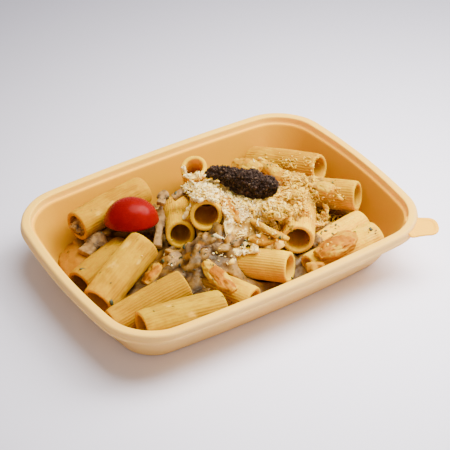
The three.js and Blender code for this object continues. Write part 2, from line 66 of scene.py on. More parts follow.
# Every rigatone: its near end, its far end, its outside diameter, its bend, and how much cream clings
RIGATONI = [
    ((-61.5, 42.0, 20.8), (-17.6, 50.4, 20.8), 16.6, 0.5, 0.55),
    ((-78.0, -9.3, 13.7), (-43.1, 5.0, 24.8), 17.6, 0.8, 0.65),
    ((-78.3, 9.5, 11.0), (-46.5, 20.2, 12.6), 17.0, 0.6, 0.60),
    ((-78.6, -25.8, 10.8), (-39.2, -27.7, 19.1), 16.6, 0.6, 0.25),
    ((-72.0, -42.4, 18.4), (-30.2, -47.8, 16.2), 17.0, 0.7, 0.45),
    ((-10.0, -2.5, 34.7), (10.6, 30.4, 18.8), 17.0, 0.5, 0.30),
    ((-21.5, 4.2, 22.7), (-3.2, 37.8, 11.0), 15.6, 0.4, 0.25),
    ((26.7, -32.2, 22.9), (47.1, -6.1, 16.3), 16.8, 0.4, 0.35),
    ((12.6, -44.6, 19.4), (-11.9, -10.8, 11.4), 16.0, 0.8, 0.20),
    ((-12.8, -49.6, 11.8), (-25.8, -19.8, 10.8), 16.0, 0.4, 0.30),
    ((72.1, 12.1, 23.2), (54.0, 49.8, 13.2), 16.4, 0.6, 0.10),
    ((74.9, -18.5, 22.4), (49.2, 15.7, 15.1), 17.0, 0.5, 0.10),
    ((70.9, -28.9, 12.6), (42.0, -31.7, 10.8), 15.2, 0.4, 0.35),
    ((66.5, -45.9, 17.0), (24.6, -46.9, 14.4), 16.2, 0.6, 0.50),
    ((9.3, 40.3, 31.6), (17.0, 48.5, 9.8), 14.6, 0.2, 0.10),
]
RIDGES = 36
RIDGE_DEPTH = 0.3
PASTA_WALL = 2.1

# The two ends of every chicken piece and every mushroom slice
CHICKEN = [
    ((26.5, -49.8, 24.0), (50.0, -49.4, 27.2)), ((19.0, -51.0, 20.5), (27.5, -54.0, 20.5)),
    ((9.5, -14.0, 31.0), (16.5, -38.0, 30.6)), ((-26.0, -26.0, 26.4), (-23.0, -48.0, 22.6)),
    ((45.0, 29.0, 28.0), (46.0, 6.0, 30.5)), ((17.0, -13.0, 34.5), (29.0, -22.5, 33.5)),
    ((56.0, -9.0, 31.5), (60.0, -18.0, 31.0)), ((2.0, 1.0, 38.0), (2.6, -12.0, 31.0)),
    ((3.0, -22.0, 26.0), (15.0, -30.0, 27.0)), ((-51.5, -9.0, 13.2), (-38.0, -2.0, 14.6)),
    ((34.0, 38.0, 26.0), (38.0, 20.0, 32.0)),
]
MUSHROOMS = [
    ((-65.5, 28.5, 13.6), (-51.0, 34.5, 15.4)), ((-20.5, -14.0, 22.0), (-9.0, -12.6, 25.6)),
    ((-34.0, 7.0, 17.6), (-19.0, 27.5, 24.4)), ((-22.0, 23.0, 31.0), (-16.0, 29.0, 32.0)),
    ((-15.5, 21.0, 33.0), (-3.0, 20.0, 38.5)), ((-35.5, -10.0, 16.6), (-28.0, -5.0, 19.4)),
    ((-7.0, -14.0, 24.6), (-1.0, -20.5, 25.4)), ((76.5, 10.5, 11.6), (70.0, 2.0, 11.4)),
    ((-25.0, -15.6, 18.0), (-16.0, -20.0, 19.0)),
]
TOMATO_AT, TOMATO_RADII = (-38.8, 24.6, 24.9), (14.4, 12.8, 13.2)
TOMATO_YAW, TOMATO_PITCH = -30.0, 12.0
TOMATO_SIDES, TOMATO_ROWS = 96, 24
CHEESE_AT, CHEESE_REACH = (22.0, -3.0), (40.0, 32.0)
TAPENADE_AT, TAPENADE_HALF, TAPENADE_YAW = (16.4, 4.6, 39.6), (20.5, 6.8, 6.6), -44.0


# Camera, lights and floor

def in_scene(name, data):
    made = bpy.data.objects.new(name, data)
    bpy.context.scene.collection.objects.link(made)
    return made


def aim_camera():
    back = Vector((-0.4313, -0.6624, 0.6126)).normalized()
    right = Vector((0.838, -0.546, 0.0)).normalized()
    up = back.cross(right)
    data = bpy.data.cameras.new("camera")
    data.lens = LENS
    data.sensor_width = SENSOR
    data.sensor_fit = "HORIZONTAL"
    data.clip_start, data.clip_end = 0.05, 20.0
    place = Matrix((right, up, back)).transposed().to_4x4()
    place.translation = Vector(LOOKS_AT) * MM + back * DISTANCE * MM
    camera = in_scene("camera", data)
    camera.matrix_world = place
    bpy.context.scene.camera = camera
    return right, up, back, place.translation.copy()


def light(name, where, at, size, watts, color):
    data = bpy.data.lights.new(name, "AREA")
    data.shape = "DISK"
    data.size = size
    data.energy = watts
    data.color = color
    lamp = in_scene(name, data)
    lamp.location = where
    lamp.rotation_euler = (Vector(at) - Vector(where)).to_track_quat("-Z", "Y").to_euler()


# Shader building

class Signal:
    """A node's output that is added and multiplied as a number is"""

    def __init__(self, finish, socket):
        self.finish = finish
        self.socket = socket

    def math(self, operation, first, second=0.0):
        return self.finish.node("ShaderNodeMath", {"operation": operation}, {0: first, 1: second})

    def __add__(self, other):
        return self.math("ADD", self, other)

    __radd__ = __add__

    def __mul__(self, other):
        return self.math("MULTIPLY", self, other)

    __rmul__ = __mul__

    def __sub__(self, other):
        return self.math("SUBTRACT", self, other)

    def __rsub__(self, other):
        return self.math("SUBTRACT", other, self)

    def __truediv__(self, other):
        return self.math("DIVIDE", self, other)

    def __pow__(self, other):
        return self.math("POWER", self, other)

    def clamped(self):
        return self.finish.node("ShaderNodeClamp", {}, {0: self})

    def step(self, low, high):
        return self.finish.node("ShaderNodeMapRange", {"interpolation_type": "SMOOTHSTEP"},
                                {0: self, 1: low, 2: high, 3: 0.0, 4: 1.0})


class Finish:
    """The procedural material of one food, or of the tray. Glow is how much light goes under the
    surface, how deep, and how far each colour of it; gloss is how strong, and its tint."""

    def __init__(self, name, glow=(), gloss=(), **surface):
        self.material = bpy.data.materials.new(name)
        self.material.use_nodes = True
        self.tree = self.material.node_tree
        self.tree.nodes.clear()
        output = self.tree.nodes.new("ShaderNodeOutputMaterial")
        self.surface = self.tree.nodes.new("ShaderNodeBsdfPrincipled")
        self.tree.links.new(self.surface.outputs[0], output.inputs[0])
        self.set(**dict(zip(("Subsurface_Weight", "Subsurface_Scale", "Subsurface_Radius"), glow)))
        self.set(**dict(zip(("Specular_IOR_Level", "Specular_Tint"), gloss)), **surface)
        self.place = self.node("ShaderNodeTexCoord", {}, {}, "Object")

    def node(self, kind, settings, sockets, out=0):
        made = self.tree.nodes.new(kind)
        for key, value in settings.items():
            if key == "stops":
                ramp = made.color_ramp
                while len(ramp.elements) < len(value):
                    ramp.elements.new(0.5)
                for element, (position, *color) in zip(ramp.elements, value):
                    element.position = position
                    element.color = (*color, 1.0)
            else:
                setattr(made, key, value)
        for key, value in sockets.items():
            self.feed(made.inputs[key], value)
        return Signal(self, made.outputs[out])

    def feed(self, socket, value):
        if isinstance(value, Signal):
            self.tree.links.new(value.socket, socket)
        else:
            socket.default_value = (*value, 1.0) if socket.type == "RGBA" else value

    def noise(self, per_metre, detail=3.0, rough=0.55, warp=0.0):
        return self.node("ShaderNodeTexNoise", {}, {"Vector": self.place, "Scale": per_metre,
                         "Detail": detail, "Roughness": rough, "Distortion": warp})

    def attribute(self, name):
        return self.node("ShaderNodeAttribute", {"attribute_name": name}, {}, "Fac")

    def mix(self, share, first, second, blend="MIX"):
        return self.node("ShaderNodeMix", {"data_type": "RGBA", "blend_type": blend},
                         {0: share, 6: first, 7: second}, 2)

    def ramp(self, share, *stops):
        """A colour for each share; each stop is a place on the ramp and its red, green and blue"""
        return self.node("ShaderNodeValToRGB", {"stops": stops}, {0: share})

    def set(self, **values):
        for key, value in values.items():
            self.feed(self.surface.inputs[key.replace("_", " ")], value)

    def done(self, color, roughness, height, distance, strength):
        """The material with its colour, its roughness and its fine relief"""
        bump = self.node("ShaderNodeBump", {}, {"Strength": strength, "Distance": distance, "Height": height})
        self.set(Base_Color=color, Roughness=roughness, Normal=bump)
        return self.material


def tray_finish():
    f = Finish("moulded_starch_plastic", (0.2, 0.004, (1.0, 0.5, 0.05)), (0.2, (1.0, 0.75, 0.3)), IOR=1.45)
    fine = f.noise(1500.0, 2.0)
    cloud = f.noise(38.0, 3.0)
    # One plastic in tones along its rings: the outer walls, the brighter flange top, and the inner walls,
    # which are painted darker and deeper orange as painted shade and bounce light inside the tray
    color = f.ramp(f.attribute("inside") + (cloud - 0.5) * 0.12, (0.0, 0.74, 0.45, 0.14),
                   (0.45, 0.97, 0.53, 0.055), (0.62, 0.95, 0.44, 0.004), (1.0, 0.56, 0.255, 0.001))
    speck = f.noise(900.0, 1.0).step(0.66, 0.74)
    return f.done(f.mix(speck * 0.25, color, (0.66, 0.30, 0.02)), 0.42 + fine * 0.12,
                  fine * 0.6 + f.noise(260.0, 2.0), 0.00012, 0.5)


def pasta_finish():
    f = Finish("cooked_pasta", (0.3, 0.005, (1.0, 0.5, 0.03)), (0.06, (1.0, 0.6, 0.02)), IOR=1.38)
    cream = f.attribute("cream")
    groove = f.attribute("groove")
    cloud = f.noise(140.0, 3.0)
    clean = f.mix(cloud.step(0.3, 0.75), (0.66, 0.33, 0.001), (0.80, 0.42, 0.001))
    # Painted shade: the grooves between the ridges are painted darker
    clean = f.mix(groove * 0.45, clean, (0.52, 0.23, 0.001))
    milky = f.mix(f.noise(420.0, 3.0).step(0.35, 0.7), (0.95, 0.56, 0.001), (0.84, 0.45, 0.001))
    film = (cream + groove * cream * 0.5 + (cloud - 0.5) * 0.4).clamped()
    color = f.mix(film * 0.9, clean, milky)
    # The cut ends are paler dough, and painted paler still as painted light on the rings that face the front
    color = f.mix(f.attribute("lip"), color, (0.86, 0.48, 0.001))
    # Painted shade: each tube's colour is darkened by its own share, lower on the tubes at the left
    color = f.mix(f.attribute("shade"), (0.0, 0.0, 0.0), color)
    hue = f.mix(f.attribute("yellow"), (1.0, 0.84, 1.0), (1.0, 1.08, 1.0))
    color = f.mix(1.0, color, hue, "MULTIPLY")
    return f.done(f.mix(f.attribute("blob"), color, (0.80, 0.48, 0.05)),
                  0.17 + film * 0.2 + f.noise(600.0) * 0.08,
                  f.noise(900.0, 2.0) + f.noise(2600.0, 1.0) * 0.3 + film * 0.6, 0.00018, 0.6)


def sauce_finish():
    f = Finish("cream_sauce", (0.2, 0.002, (1.0, 0.5, 0.1)), (0.35, (1.0, 0.8, 0.5)), IOR=1.4)
    kind = f.attribute("kind")
    bare = f.attribute("bare")
    cloud = f.noise(170.0, 4.0, 0.6, warp=0.4)
    # Painted shade: the sauce is painted darker in its hollows and lighter where it stands out
    lit = f.attribute("height") * 0.8 + (cloud - 0.5) * 0.7 + 0.05
    cream = f.ramp(lit, (0.15, 0.035, 0.012, 0.001), (0.42, 0.11, 0.044, 0.004),
                   (0.68, 0.20, 0.098, 0.016), (0.98, 0.40, 0.225, 0.05))
    brown = f.ramp(lit, (0.15, 0.025, 0.010, 0.002), (0.5, 0.08, 0.038, 0.009), (0.98, 0.18, 0.105, 0.038))
    meat = f.ramp(lit, (0.15, 0.07, 0.018, 0.001), (0.5, 0.24, 0.085, 0.004), (0.98, 0.42, 0.20, 0.02))
    color = f.mix(kind.step(0.30, 0.42), brown, cream)
    color = f.mix(kind.step(0.70, 0.80), color, meat)
    # Where the sauce is bare, the tray's inner wall shows in a colour painted darker as painted shade
    color = f.mix(bare, color, (0.36, 0.145, 0.001))
    herb = f.noise(620.0, 2.0).step(0.68, 0.72)
    return f.done(f.mix(herb * (1 - bare), color, (0.035, 0.04, 0.008)), 0.26 + f.noise(300.0) * 0.2,
                  f.noise(300.0, 3.0, 0.5) + f.noise(1500.0, 2.0) * 0.15, 0.0006, 0.7)


def cheese_finish():
    f = Finish("grated_cheese", (0.25, 0.0015, (1.0, 0.7, 0.3)), (0.3, (1.0, 0.85, 0.6)), IOR=1.4)
    pale = f.attribute("tone")
    # The tone runs from dark to pale; its dark end is partly painted shade in the hollows of the heap
    color = f.ramp(pale, (0.0, 0.50, 0.25, 0.003), (0.45, 0.82, 0.48, 0.012),
                   (0.75, 0.92, 0.64, 0.15), (1.0, 0.97, 0.78, 0.36))
    color = f.mix(f.noise(500.0).step(0.3, 0.8) * 0.35, color, (0.70, 0.40, 0.02))
    # Under: sauce showing where the cheese lies thin or is stirred in, which also serves as painted shade in
    # the gaps
    return f.done(f.mix(f.attribute("under"), color, (0.30, 0.14, 0.006)), 0.5 + pale * 0.15,
                  f.noise(2200.0, 2.0), 0.00015, 0.6)


def tapenade_finish():
    f = Finish("chopped_olive", (), (0.3, (1.0, 0.7, 0.5)), IOR=1.4)
    color = f.ramp(f.attribute("tone"), (0.0, 0.010, 0.006, 0.004), (0.5, 0.032, 0.016, 0.011),
                   (0.8, 0.062, 0.034, 0.019), (1.0, 0.11, 0.072, 0.040))
    return f.done(color, 0.34 + f.noise(900.0) * 0.3, f.noise(1300.0, 4.0, 0.7), 0.0004, 0.8)


def chicken_finish():
    f = Finish("roast_chicken", (0.3, 0.003, (1.0, 0.6, 0.1)), (0.1, (1.0, 0.7, 0.2)), IOR=1.4)
    seared = f.attribute("seared")
    cloud = f.noise(220.0, 4.0)
    flesh = f.mix(cloud.step(0.3, 0.7), (0.46, 0.20, 0.002), (0.54, 0.27, 0.004))
    flesh = f.mix(f.attribute("fibre") * 0.65, flesh, (0.34, 0.13, 0.001))
    flesh = f.mix(f.attribute("cream") * 0.85, flesh, (0.60, 0.36, 0.015))
    brown = f.ramp((seared + (cloud - 0.5) * 0.4).clamped(), (0.0, 0.50, 0.22, 0.002),
                   (0.5, 0.40, 0.14, 0.001), (0.8, 0.28, 0.08, 0.001), (1.0, 0.16, 0.045, 0.001))
    return f.done(f.mix(seared.step(0.1, 0.5), flesh, brown), 0.36 + cloud * 0.2,
                  f.noise(800.0, 3.0), 0.0003, 0.6)


def mushroom_finish():
    f = Finish("cooked_mushroom", (0.1, 0.002, (1.0, 0.6, 0.3)), (0.35, (1.0, 0.8, 0.6)), IOR=1.4)
    cloud = f.noise(350.0, 4.0)
    flesh = f.mix(cloud.step(0.3, 0.7), (0.22, 0.112, 0.030), (0.44, 0.245, 0.065))
    dark = (f.attribute("dark") + (cloud - 0.5) * 0.4).clamped()
    return f.done(f.mix(dark, flesh, (0.045, 0.025, 0.014)), 0.32 + cloud * 0.2,
                  f.noise(1100.0, 3.0), 0.0003, 0.6)


def tomato_finish():
    f = Finish("tomato_skin", (0.15, 0.003, (1.0, 0.1, 0.05)), (0.16, (1.0, 0.2, 0.15)), IOR=1.4,
               Coat_Weight=0.03, Coat_Roughness=0.15)
    fine = f.noise(1800.0, 2.0)
    skin = f.mix(f.noise(90.0, 3.0).step(0.3, 0.75), (0.15, 0.0005, 0.0005), (0.21, 0.0008, 0.0008))
    return f.done(f.mix(f.attribute("flesh"), skin, (0.5, 0.09, 0.03)), 0.24 + fine * 0.06,
                  fine, 0.00005, 0.3)


def herb_finish():
    f = Finish("chopped_herb", IOR=1.4)
    cloud = f.noise(900.0, 2.0)
    return f.done(f.mix(f.attribute("tone"), (0.012, 0.016, 0.004), (0.09, 0.11, 0.035)), 0.4 + cloud * 0.2,
                  cloud, 0.0001, 0.5)


# Relief: smooth noise of a seeded lattice

LATTICE = np.random.default_rng(5).uniform(-1.0, 1.0, (32, 32, 32))


def relief(points, size, octaves=2, shift=0.0):
    """Smooth noise between -1 and 1 at each point, with lumps about as wide as size"""
    total, weight, norm = 0.0, 1.0, 0.0
    at = np.asarray(points, float) / size + shift
    for _ in range(octaves):
        cell = np.floor(at).astype(int)
        part = at - cell
        part = part * part * (3 - 2 * part)
        value = 0.0
        for corner in range(8):
            bits = np.array([corner & 1, corner >> 1 & 1, corner >> 2 & 1])
            index = (cell + bits) % 32
            share = np.prod(np.where(bits == 1, part, 1 - part), axis=-1)
            value = value + share * LATTICE[index[..., 0], index[..., 1], index[..., 2]]
        total = total + weight * value
        norm += weight
        at = at * 2.03 + 11.3
        weight *= 0.5
    return total / norm


def smooth_step(value, low, high):
    share = np.clip((value - low) / (high - low), 0.0, 1.0)
    return share * share * (3 - 2 * share)


# Mesh helpers

def deselect():
    if bpy.context.object and bpy.context.object.mode != "OBJECT":
        bpy.ops.object.mode_set(mode="OBJECT")
    bpy.ops.object.select_all(action="DESELECT")


def activate(piece):
    deselect()
    piece.select_set(True)
    bpy.context.view_layer.objects.active = piece


def corners_of(piece):
    flat = np.empty(len(piece.data.vertices) * 3)
    piece.data.vertices.foreach_get("co", flat)
    return flat.reshape(-1, 3) / MM


def normals_of(piece):
    flat = np.empty(len(piece.data.vertices) * 3)
    piece.data.vertices.foreach_get("normal", flat)
    return flat.reshape(-1, 3)


def reshape(piece, points):
    piece.data.vertices.foreach_set("co", (np.asarray(points) * MM).ravel())
    piece.data.update()


def paint(piece, name, values):
    """A value at each corner of the mesh, which the piece's material reads"""
    layer = piece.data.attributes.get(name) or piece.data.attributes.new(name, "FLOAT", "POINT")
    layer.data.foreach_set("value", np.asarray(values, np.float32).ravel())


def weld(piece):
    activate(piece)
    bpy.ops.object.mode_set(mode="EDIT")
    bpy.ops.mesh.select_all(action="SELECT")
    bpy.ops.mesh.remove_doubles(threshold=2e-6)
    bpy.ops.mesh.normals_make_consistent(inside=False)
    bpy.ops.object.mode_set(mode="OBJECT")
    bpy.ops.object.shade_smooth()


def rolled(name, points, **painted):
    """A grid rolled or folded through rows of points, its meeting edges welded"""
    rows, columns = points.shape[:2]
    deselect()
    bpy.ops.mesh.primitive_grid_add(x_subdivisions=columns - 1, y_subdivisions=rows - 1, size=1.0)
    piece = bpy.context.active_object
    piece.name = piece.data.name = name
    reshape(piece, points.reshape(-1, 3))
    for key, values in painted.items():
        paint(piece, key, values)
    weld(piece)
    return piece


def modify(piece, kind, **settings):
    activate(piece)
    modifier = piece.modifiers.new(kind.lower(), kind)
    for key, value in settings.items():
        setattr(modifier, key, value)
    bpy.ops.object.modifier_apply(modifier=modifier.name)


def softened(name, node, voxel, rounds, swell, lumps=None):
    """A copy of a CAD solid, remeshed finely with the lumps laid on it, smoothed and swollen"""
    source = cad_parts[node]
    piece = source.copy()
    piece.data = source.data.copy()
    for key in list(piece.keys()):
        del piece[key]
    piece.parent = None
    piece.matrix_world = Matrix.Identity(4)
    bpy.context.scene.collection.objects.link(piece)
    piece.name = piece.data.name = name
    piece.data.materials.clear()
    weld(piece)
    if lumps:
        activate(piece)
        lumps.select_set(True)
        bpy.ops.object.join()
    modify(piece, "REMESH", mode="VOXEL", voxel_size=voxel * MM)
    modify(piece, "SMOOTH", factor=0.5, iterations=rounds)
    reshape(piece, corners_of(piece) + normals_of(piece) * swell)
    bpy.ops.object.shade_smooth()
    return piece


def height_of(piece, rounds):
    """How far each corner stands out of its surroundings, in millimetres"""
    edges = np.empty(len(piece.data.edges) * 2, np.int32)
    piece.data.edges.foreach_get("vertices", edges)
    first, second = edges.reshape(-1, 2).T
    points = corners_of(piece)
    count = np.maximum(np.bincount(edges, minlength=len(points)), 1)
    smooth = points.copy()
    for _ in range(rounds):
        for axis in range(3):
            total = np.bincount(first, smooth[second, axis], len(points))
            total += np.bincount(second, smooth[first, axis], len(points))
            smooth[:, axis] = total / count
    return np.sum((points - smooth) * normals_of(piece), axis=1)


def dress(piece, nodes, slot, finish=None):
    piece.data.materials.clear()
    piece.data.materials.append(finishes[finish or slot])
    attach(piece, "root")
    if nodes:
        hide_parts(*nodes)
    return piece


# The tray

def tray_ring(inset_x, inset_y, radius, bow_x, bow_y, z):
    """A ring of points: a rectangle with round corners, whose sides bow inwards at their ends"""
    half_x, half_y = TRAY_LENGTH / 2 - inset_x, TRAY_WIDTH / 2 - inset_y
    outline = []
    corners = [(1, 1, 0), (-1, 1, 90), (-1, -1, 180), (1, -1, 270)]
    for index, (sign_x, sign_y, start) in enumerate(corners):
        middle = (sign_x * (half_x - radius), sign_y * (half_y - radius))
        for i in range(CORNER_STEPS + 1):
            angle = math.radians(start + 90 * i / CORNER_STEPS)
            outline.append((middle[0] + radius * math.cos(angle), middle[1] + radius * math.sin(angle)))
        last = outline[-1]
        after = corners[(index + 1) % 4]
        if index % 2 == 0:
            to, steps = (after[0] * (half_x - radius), last[1]), LONG_STEPS
        else:
            to, steps = (last[0], after[1] * (half_y - radius)), SHORT_STEPS
        for i in range(1, steps):
            outline.append((last[0] + (to[0] - last[0]) * i / steps, last[1] + (to[1] - last[1]) * i / steps))
    flat = np.array(outline)
    x, y = flat[:, 0], flat[:, 1]
    bowed_x = x - np.sign(x) * bow_x * (y / half_y) ** 2 * np.abs(x) / half_x
    bowed_y = y - np.sign(y) * bow_y * (x / half_x) ** 2 * np.abs(y) / half_y
    return np.stack([bowed_x, bowed_y, np.full_like(x, z)], axis=1)


def rim_ring(inset, z):
    return tray_ring(inset, inset, CORNER_RADIUS - inset, SHORT_SIDE_BOW, LONG_SIDE_BOW, z)


def wall_ring(share, z, inwards):
    """A ring on the sloping wall, at a share of the way from the base to the ledge"""
    def mix(base, top):
        return base + (top - base) * share

    return tray_ring(mix(BASE_INSET_X, LEDGE_INSET - WALL) + inwards,
                     mix(BASE_INSET_Y, LEDGE_INSET - WALL) + inwards,
                     mix(BASE_RADIUS, CORNER_RADIUS - LEDGE_INSET + WALL) - inwards,
                     SHORT_SIDE_BOW, mix(LONG_SIDE_BOW + 0.6, LONG_SIDE_BOW), z)


def wall_height(share, top):
    return BASE_THICKNESS + (top - BASE_THICKNESS) * share


def base_ring(share, z):
    ring = wall_ring(0, z, 5.0)
    return np.concatenate([ring[:, :2] * share, np.full((len(ring), 1), z)], 1)


# The ring at which the flange turns down to the ledge, counted from the middle of the underside
LIP_ROW = 31


def make_tray():
    top, under = TRAY_HEIGHT, LEDGE_Z - WALL
    hollow, foot = FLANGE - WALL, TRAY_HEIGHT - SKIRT_HEIGHT
    outside = [(0, 0, 3.6), (0, 0.12, 2.2), (0, 0.7, 0.8), (0, 1.9, 0.1), (0.08, 3.4, 0)]
    outside += [(share, wall_height(share, under), 0) for share in (0.3, 0.6, 0.9)]
    outside.append((0.99, under - 0.3, 0))
    rim = [(FLANGE + 1.3, under), (hollow + 0.3, under), (hollow, under + 0.4), (hollow, top - WALL - 0.4),
           (hollow - 0.3, top - WALL), (WALL + 0.6, top - WALL), (WALL + 0.25, top - WALL - 0.5),
           (WALL, foot + 0.2), (WALL - 0.15, foot), (0.15, foot), (0, foot + 0.2), (0, top - 3.5),
           (0.05, top - 3.3), (0.3, top - 3.1), (0.35, top - 2.9), (0.4, top - 1.5), (0.7, top - 0.6),
           (1.3, top - 0.12), (2.0, top), (3.4, top), (FLANGE - 0.7, top), (FLANGE - 0.2, top - 0.2),
           (FLANGE, top - 0.7), (FLANGE + 0.15, LEDGE_Z + 0.5), (FLANGE + 0.4, LEDGE_Z),
           (LEDGE_INSET - 0.6, LEDGE_Z), (LEDGE_INSET - 0.1, LEDGE_Z - 0.15)]
    within = [(0.98, LEDGE_Z - 0.7, WALL)]
    within += [(share, wall_height(share, LEDGE_Z), WALL) for share in (0.85, 0.6, 0.35)]
    within += [(0.14, 4.8, WALL), (0.02, 2.6, WALL + 0.7), (0, 1.6, WALL + 2.2),
               (0, BASE_THICKNESS + 0.06, WALL + 4.0)]
    rings = [base_ring(share, 0) for share in (0.0, 0.5, 0.95)]
    rings += [wall_ring(*row) for row in outside]
    rings += [rim_ring(*row) for row in rim]
    rings += [wall_ring(*row) for row in within]
    rings += [base_ring(share, BASE_THICKNESS) for share in (0.9, 0.45, 0.0)]
    points = np.array(rings)
    points = np.concatenate([points, points[:, :1]], axis=1)
    rows = np.arange(len(rings))
    # The flange top takes the brighter tone, and the inner walls the painted shade and bounce light inside
    # the tray
    flange = smooth_step(rows, LIP_ROW - 4, LIP_ROW) * 0.45
    inside = smooth_step(rows, LIP_ROW + 4, LIP_ROW + 8) * 0.55
    tray = rolled("moulded_tray", points, inside=np.repeat((flange + inside)[:, None], points.shape[1], 1))
    modify(tray, "SUBSURF", levels=1, render_levels=1)
    bpy.ops.object.shade_smooth()
    return tray


def make_tab():
    """The lift tab: a rounded tongue with a shallow pressed panel, joined under the rim"""
    yaw = math.radians(TAB_YAW)
    along = np.array([math.cos(yaw), math.sin(yaw)])
    across = np.array([-math.sin(yaw), math.cos(yaw)])
    tip = TAB_WIDTH / 2
    outline = []
    for i in range(25):
        angle = math.pi * (i / 24 - 0.5)
        squared = math.copysign(abs(math.sin(angle)) ** 0.75, math.sin(angle))
        outline.append((TAB_REACH - tip * 0.7 + tip * 0.7 * math.cos(angle), tip * 0.92 * squared))
    outline = np.array([(0.0, -tip - 1.5), (3.0, -tip - 0.9), (6.5, -tip * 0.97)] + outline
                       + [(6.5, tip * 0.97), (3.0, tip + 0.9), (0.0, tip + 1.5)])
    centre = np.array([9.0, 0.0])
    levels = [(0.0, -TAB_THICK), (0.9, -TAB_THICK), (0.985, -TAB_THICK + 0.1), (1.0, -TAB_THICK / 2),
              (0.985, -0.1), (0.95, 0.0), (0.80, 0.0), (0.76, -0.12), (0.72, -0.34), (0.68, -0.4),
              (0.3, -0.4), (0.0, -0.4)]
    rows = []
    for share, drop in levels:
        flat = centre + (outline - centre) * share
        place = np.array(TAB_ROOT) + flat[:, :1] * along + flat[:, 1:] * across
        rows.append(np.concatenate([place, np.full((len(place), 1), TAB_TOP + drop)], axis=1))
    points = np.array(rows)
    points = np.concatenate([points, points[:, :1]], axis=1)
    tab = rolled("lift_tab", points, inside=np.full(points.shape[:2], 0.62))
    modify(tab, "SUBSURF", levels=1, render_levels=1)
    return tab


# Pasta

def rod_frame(start, stop):
    """A rod's length and its directions: along it, to its side, and over it"""
    along = np.array(stop) - np.array(start)
    length = np.linalg.norm(along)
    along = along / length
    side = np.cross((0.0, 0.0, 1.0), along)
    side = side / np.linalg.norm(side)
    return length, along, side, np.cross(along, side)


# Each tube's painted shade, the share of its dough colour that is kept, lower on the tubes at the left where
# less light falls; and how yellow it is next to the most cooked tubes
PAINTED_SHADE_AND_HUE = [
    (0.53, 0.1), (0.58, 0.4), (0.40, 0.1), (0.55, 0.5), (0.56, 0.8), (0.95, 0.6), (0.85, 0.6), (0.97, 0.6),
    (0.95, 0.8), (0.75, 0.6), (0.68, 0.35), (0.72, 0.65), (1.0, 0.5), (0.9, 0.7), (1.0, 1.0),
]


# The rows of points along a tube's outside, over a lip, and down its bore
SKIN_ROWS, LIP_ROWS, BORE_ROWS = 46, 5, 15
# The tube whose cut ends take only a fifth of the paler colour and painted light of the others
PLAIN_LIP = 14


def tube_rows(skin, far_lip, bore, near_lip):
    """One value for each row: along the outside, over the far lip, back down the bore, over the near lip"""
    parts = zip((skin, far_lip, bore, near_lip), (SKIN_ROWS, LIP_ROWS, BORE_ROWS, LIP_ROWS))
    rows = np.concatenate([np.ones(count) * part for part, count in parts])
    return np.append(rows, rows[0])


def make_rigatone(index, near, far, across, bend, cream):
    rng = np.random.default_rng(300 + index)
    start, stop = np.array(near), np.array(far)
    length, along, side, over = rod_frame(near, far)
    columns, radius = RIDGES * 4, across / 2
    angle = np.linspace(0, 2 * math.pi, columns + 1)
    lip = np.linspace(0, math.pi, LIP_ROWS + 2)[1:-1]

    def round_tube(rows):
        return np.repeat(rows[:, None], columns + 1, 1)

    share = tube_rows(np.linspace(0, 1, SKIN_ROWS), 1, np.linspace(1, 0, BORE_ROWS), 0)
    inward = round_tube(tube_rows(0, (1 - np.cos(lip)) / 2, 1, (1 + np.cos(lip)) / 2))
    push = round_tube(tube_rows(0, np.sin(lip), 0, -np.sin(lip)) * 0.55)
    s, a = np.meshgrid(share, angle, indexing="ij")
    middle = start + (stop - start) * s[..., None] + over * (bend * (4 * s * (1 - s) - 0.5))[..., None]
    ring = side * np.cos(a)[..., None] + over * np.sin(a)[..., None]
    seat = middle + ring * radius
    groove = 0.5 - 0.5 * np.cos(RIDGES * a)
    up = np.clip(ring[..., 2], -1, 1)
    film = relief(seat, 9.0, 3, shift=index * 3.7)
    # The cream lies thicker on the upper side, which is also painted paler as painted light from above
    film = smooth_step(film + up * 0.35 + (cream - 0.5) * 1.1, -0.25, 0.65)
    squash = 1 - 0.022 * np.cos(2 * a + rng.uniform(0, 6)) + 0.012 * relief(seat, 16.0, 1, shift=index * 1.3)
    fade = smooth_step(np.minimum(s, 1 - s) * length, 0.0, 2.0)
    drawn = np.stack([np.cos(a) * radius, np.sin(a) * radius, s * length / 10], axis=-1)
    streak = relief(drawn, 0.9, 3, shift=index * 2.9)
    outer = radius * squash - groove ** 1.4 * RIDGE_DEPTH * (1 - 0.55 * film) + 0.12 * relief(seat, 2.2, 2)
    outer = outer - (1 - fade) * 0.15
    inner = radius * squash - PASTA_WALL - 0.25 + 0.12 * relief(seat, 5.0, 2, shift=9.1)
    tube = outer + (inner - outer) * inward
    slant = rng.uniform(-0.5, 0.5) * np.cos(a + rng.uniform(0, 6)) + 0.18 * relief(seat, 4.0, 1, shift=5.0)
    shift = push + slant * (np.abs(2 * s - 1) ** 6)
    points = middle + ring * tube[..., None] + along * shift[..., None]
    # The lip rows, which take the paler colour of the cut ends and their painted light
    lit_lips = tube_rows(0, 1, 0, 1)
    lit_lips[[SKIN_ROWS - 1, SKIN_ROWS + LIP_ROWS, -LIP_ROWS - 2, -1]] = 0.5
    # This tube's painted shade and its hue
    shade, yellow = PAINTED_SHADE_AND_HUE[index]
    cream = (film + streak * 0.8 - 0.1) * (1 - inward * 0.7)
    piece = rolled(f"pasta_tube_{index + 1:02d}", points, cream=cream, groove=groove * (1 - inward),
                   blob=np.zeros_like(s), shade=np.full_like(s, shade), yellow=np.full_like(s, yellow),
                   lip=round_tube(lit_lips) * (0.2 if index == PLAIN_LIP else 1.0))
    return dress(piece, [f"rigatone_{index + 1:02d}"], "pasta")


# Tomato

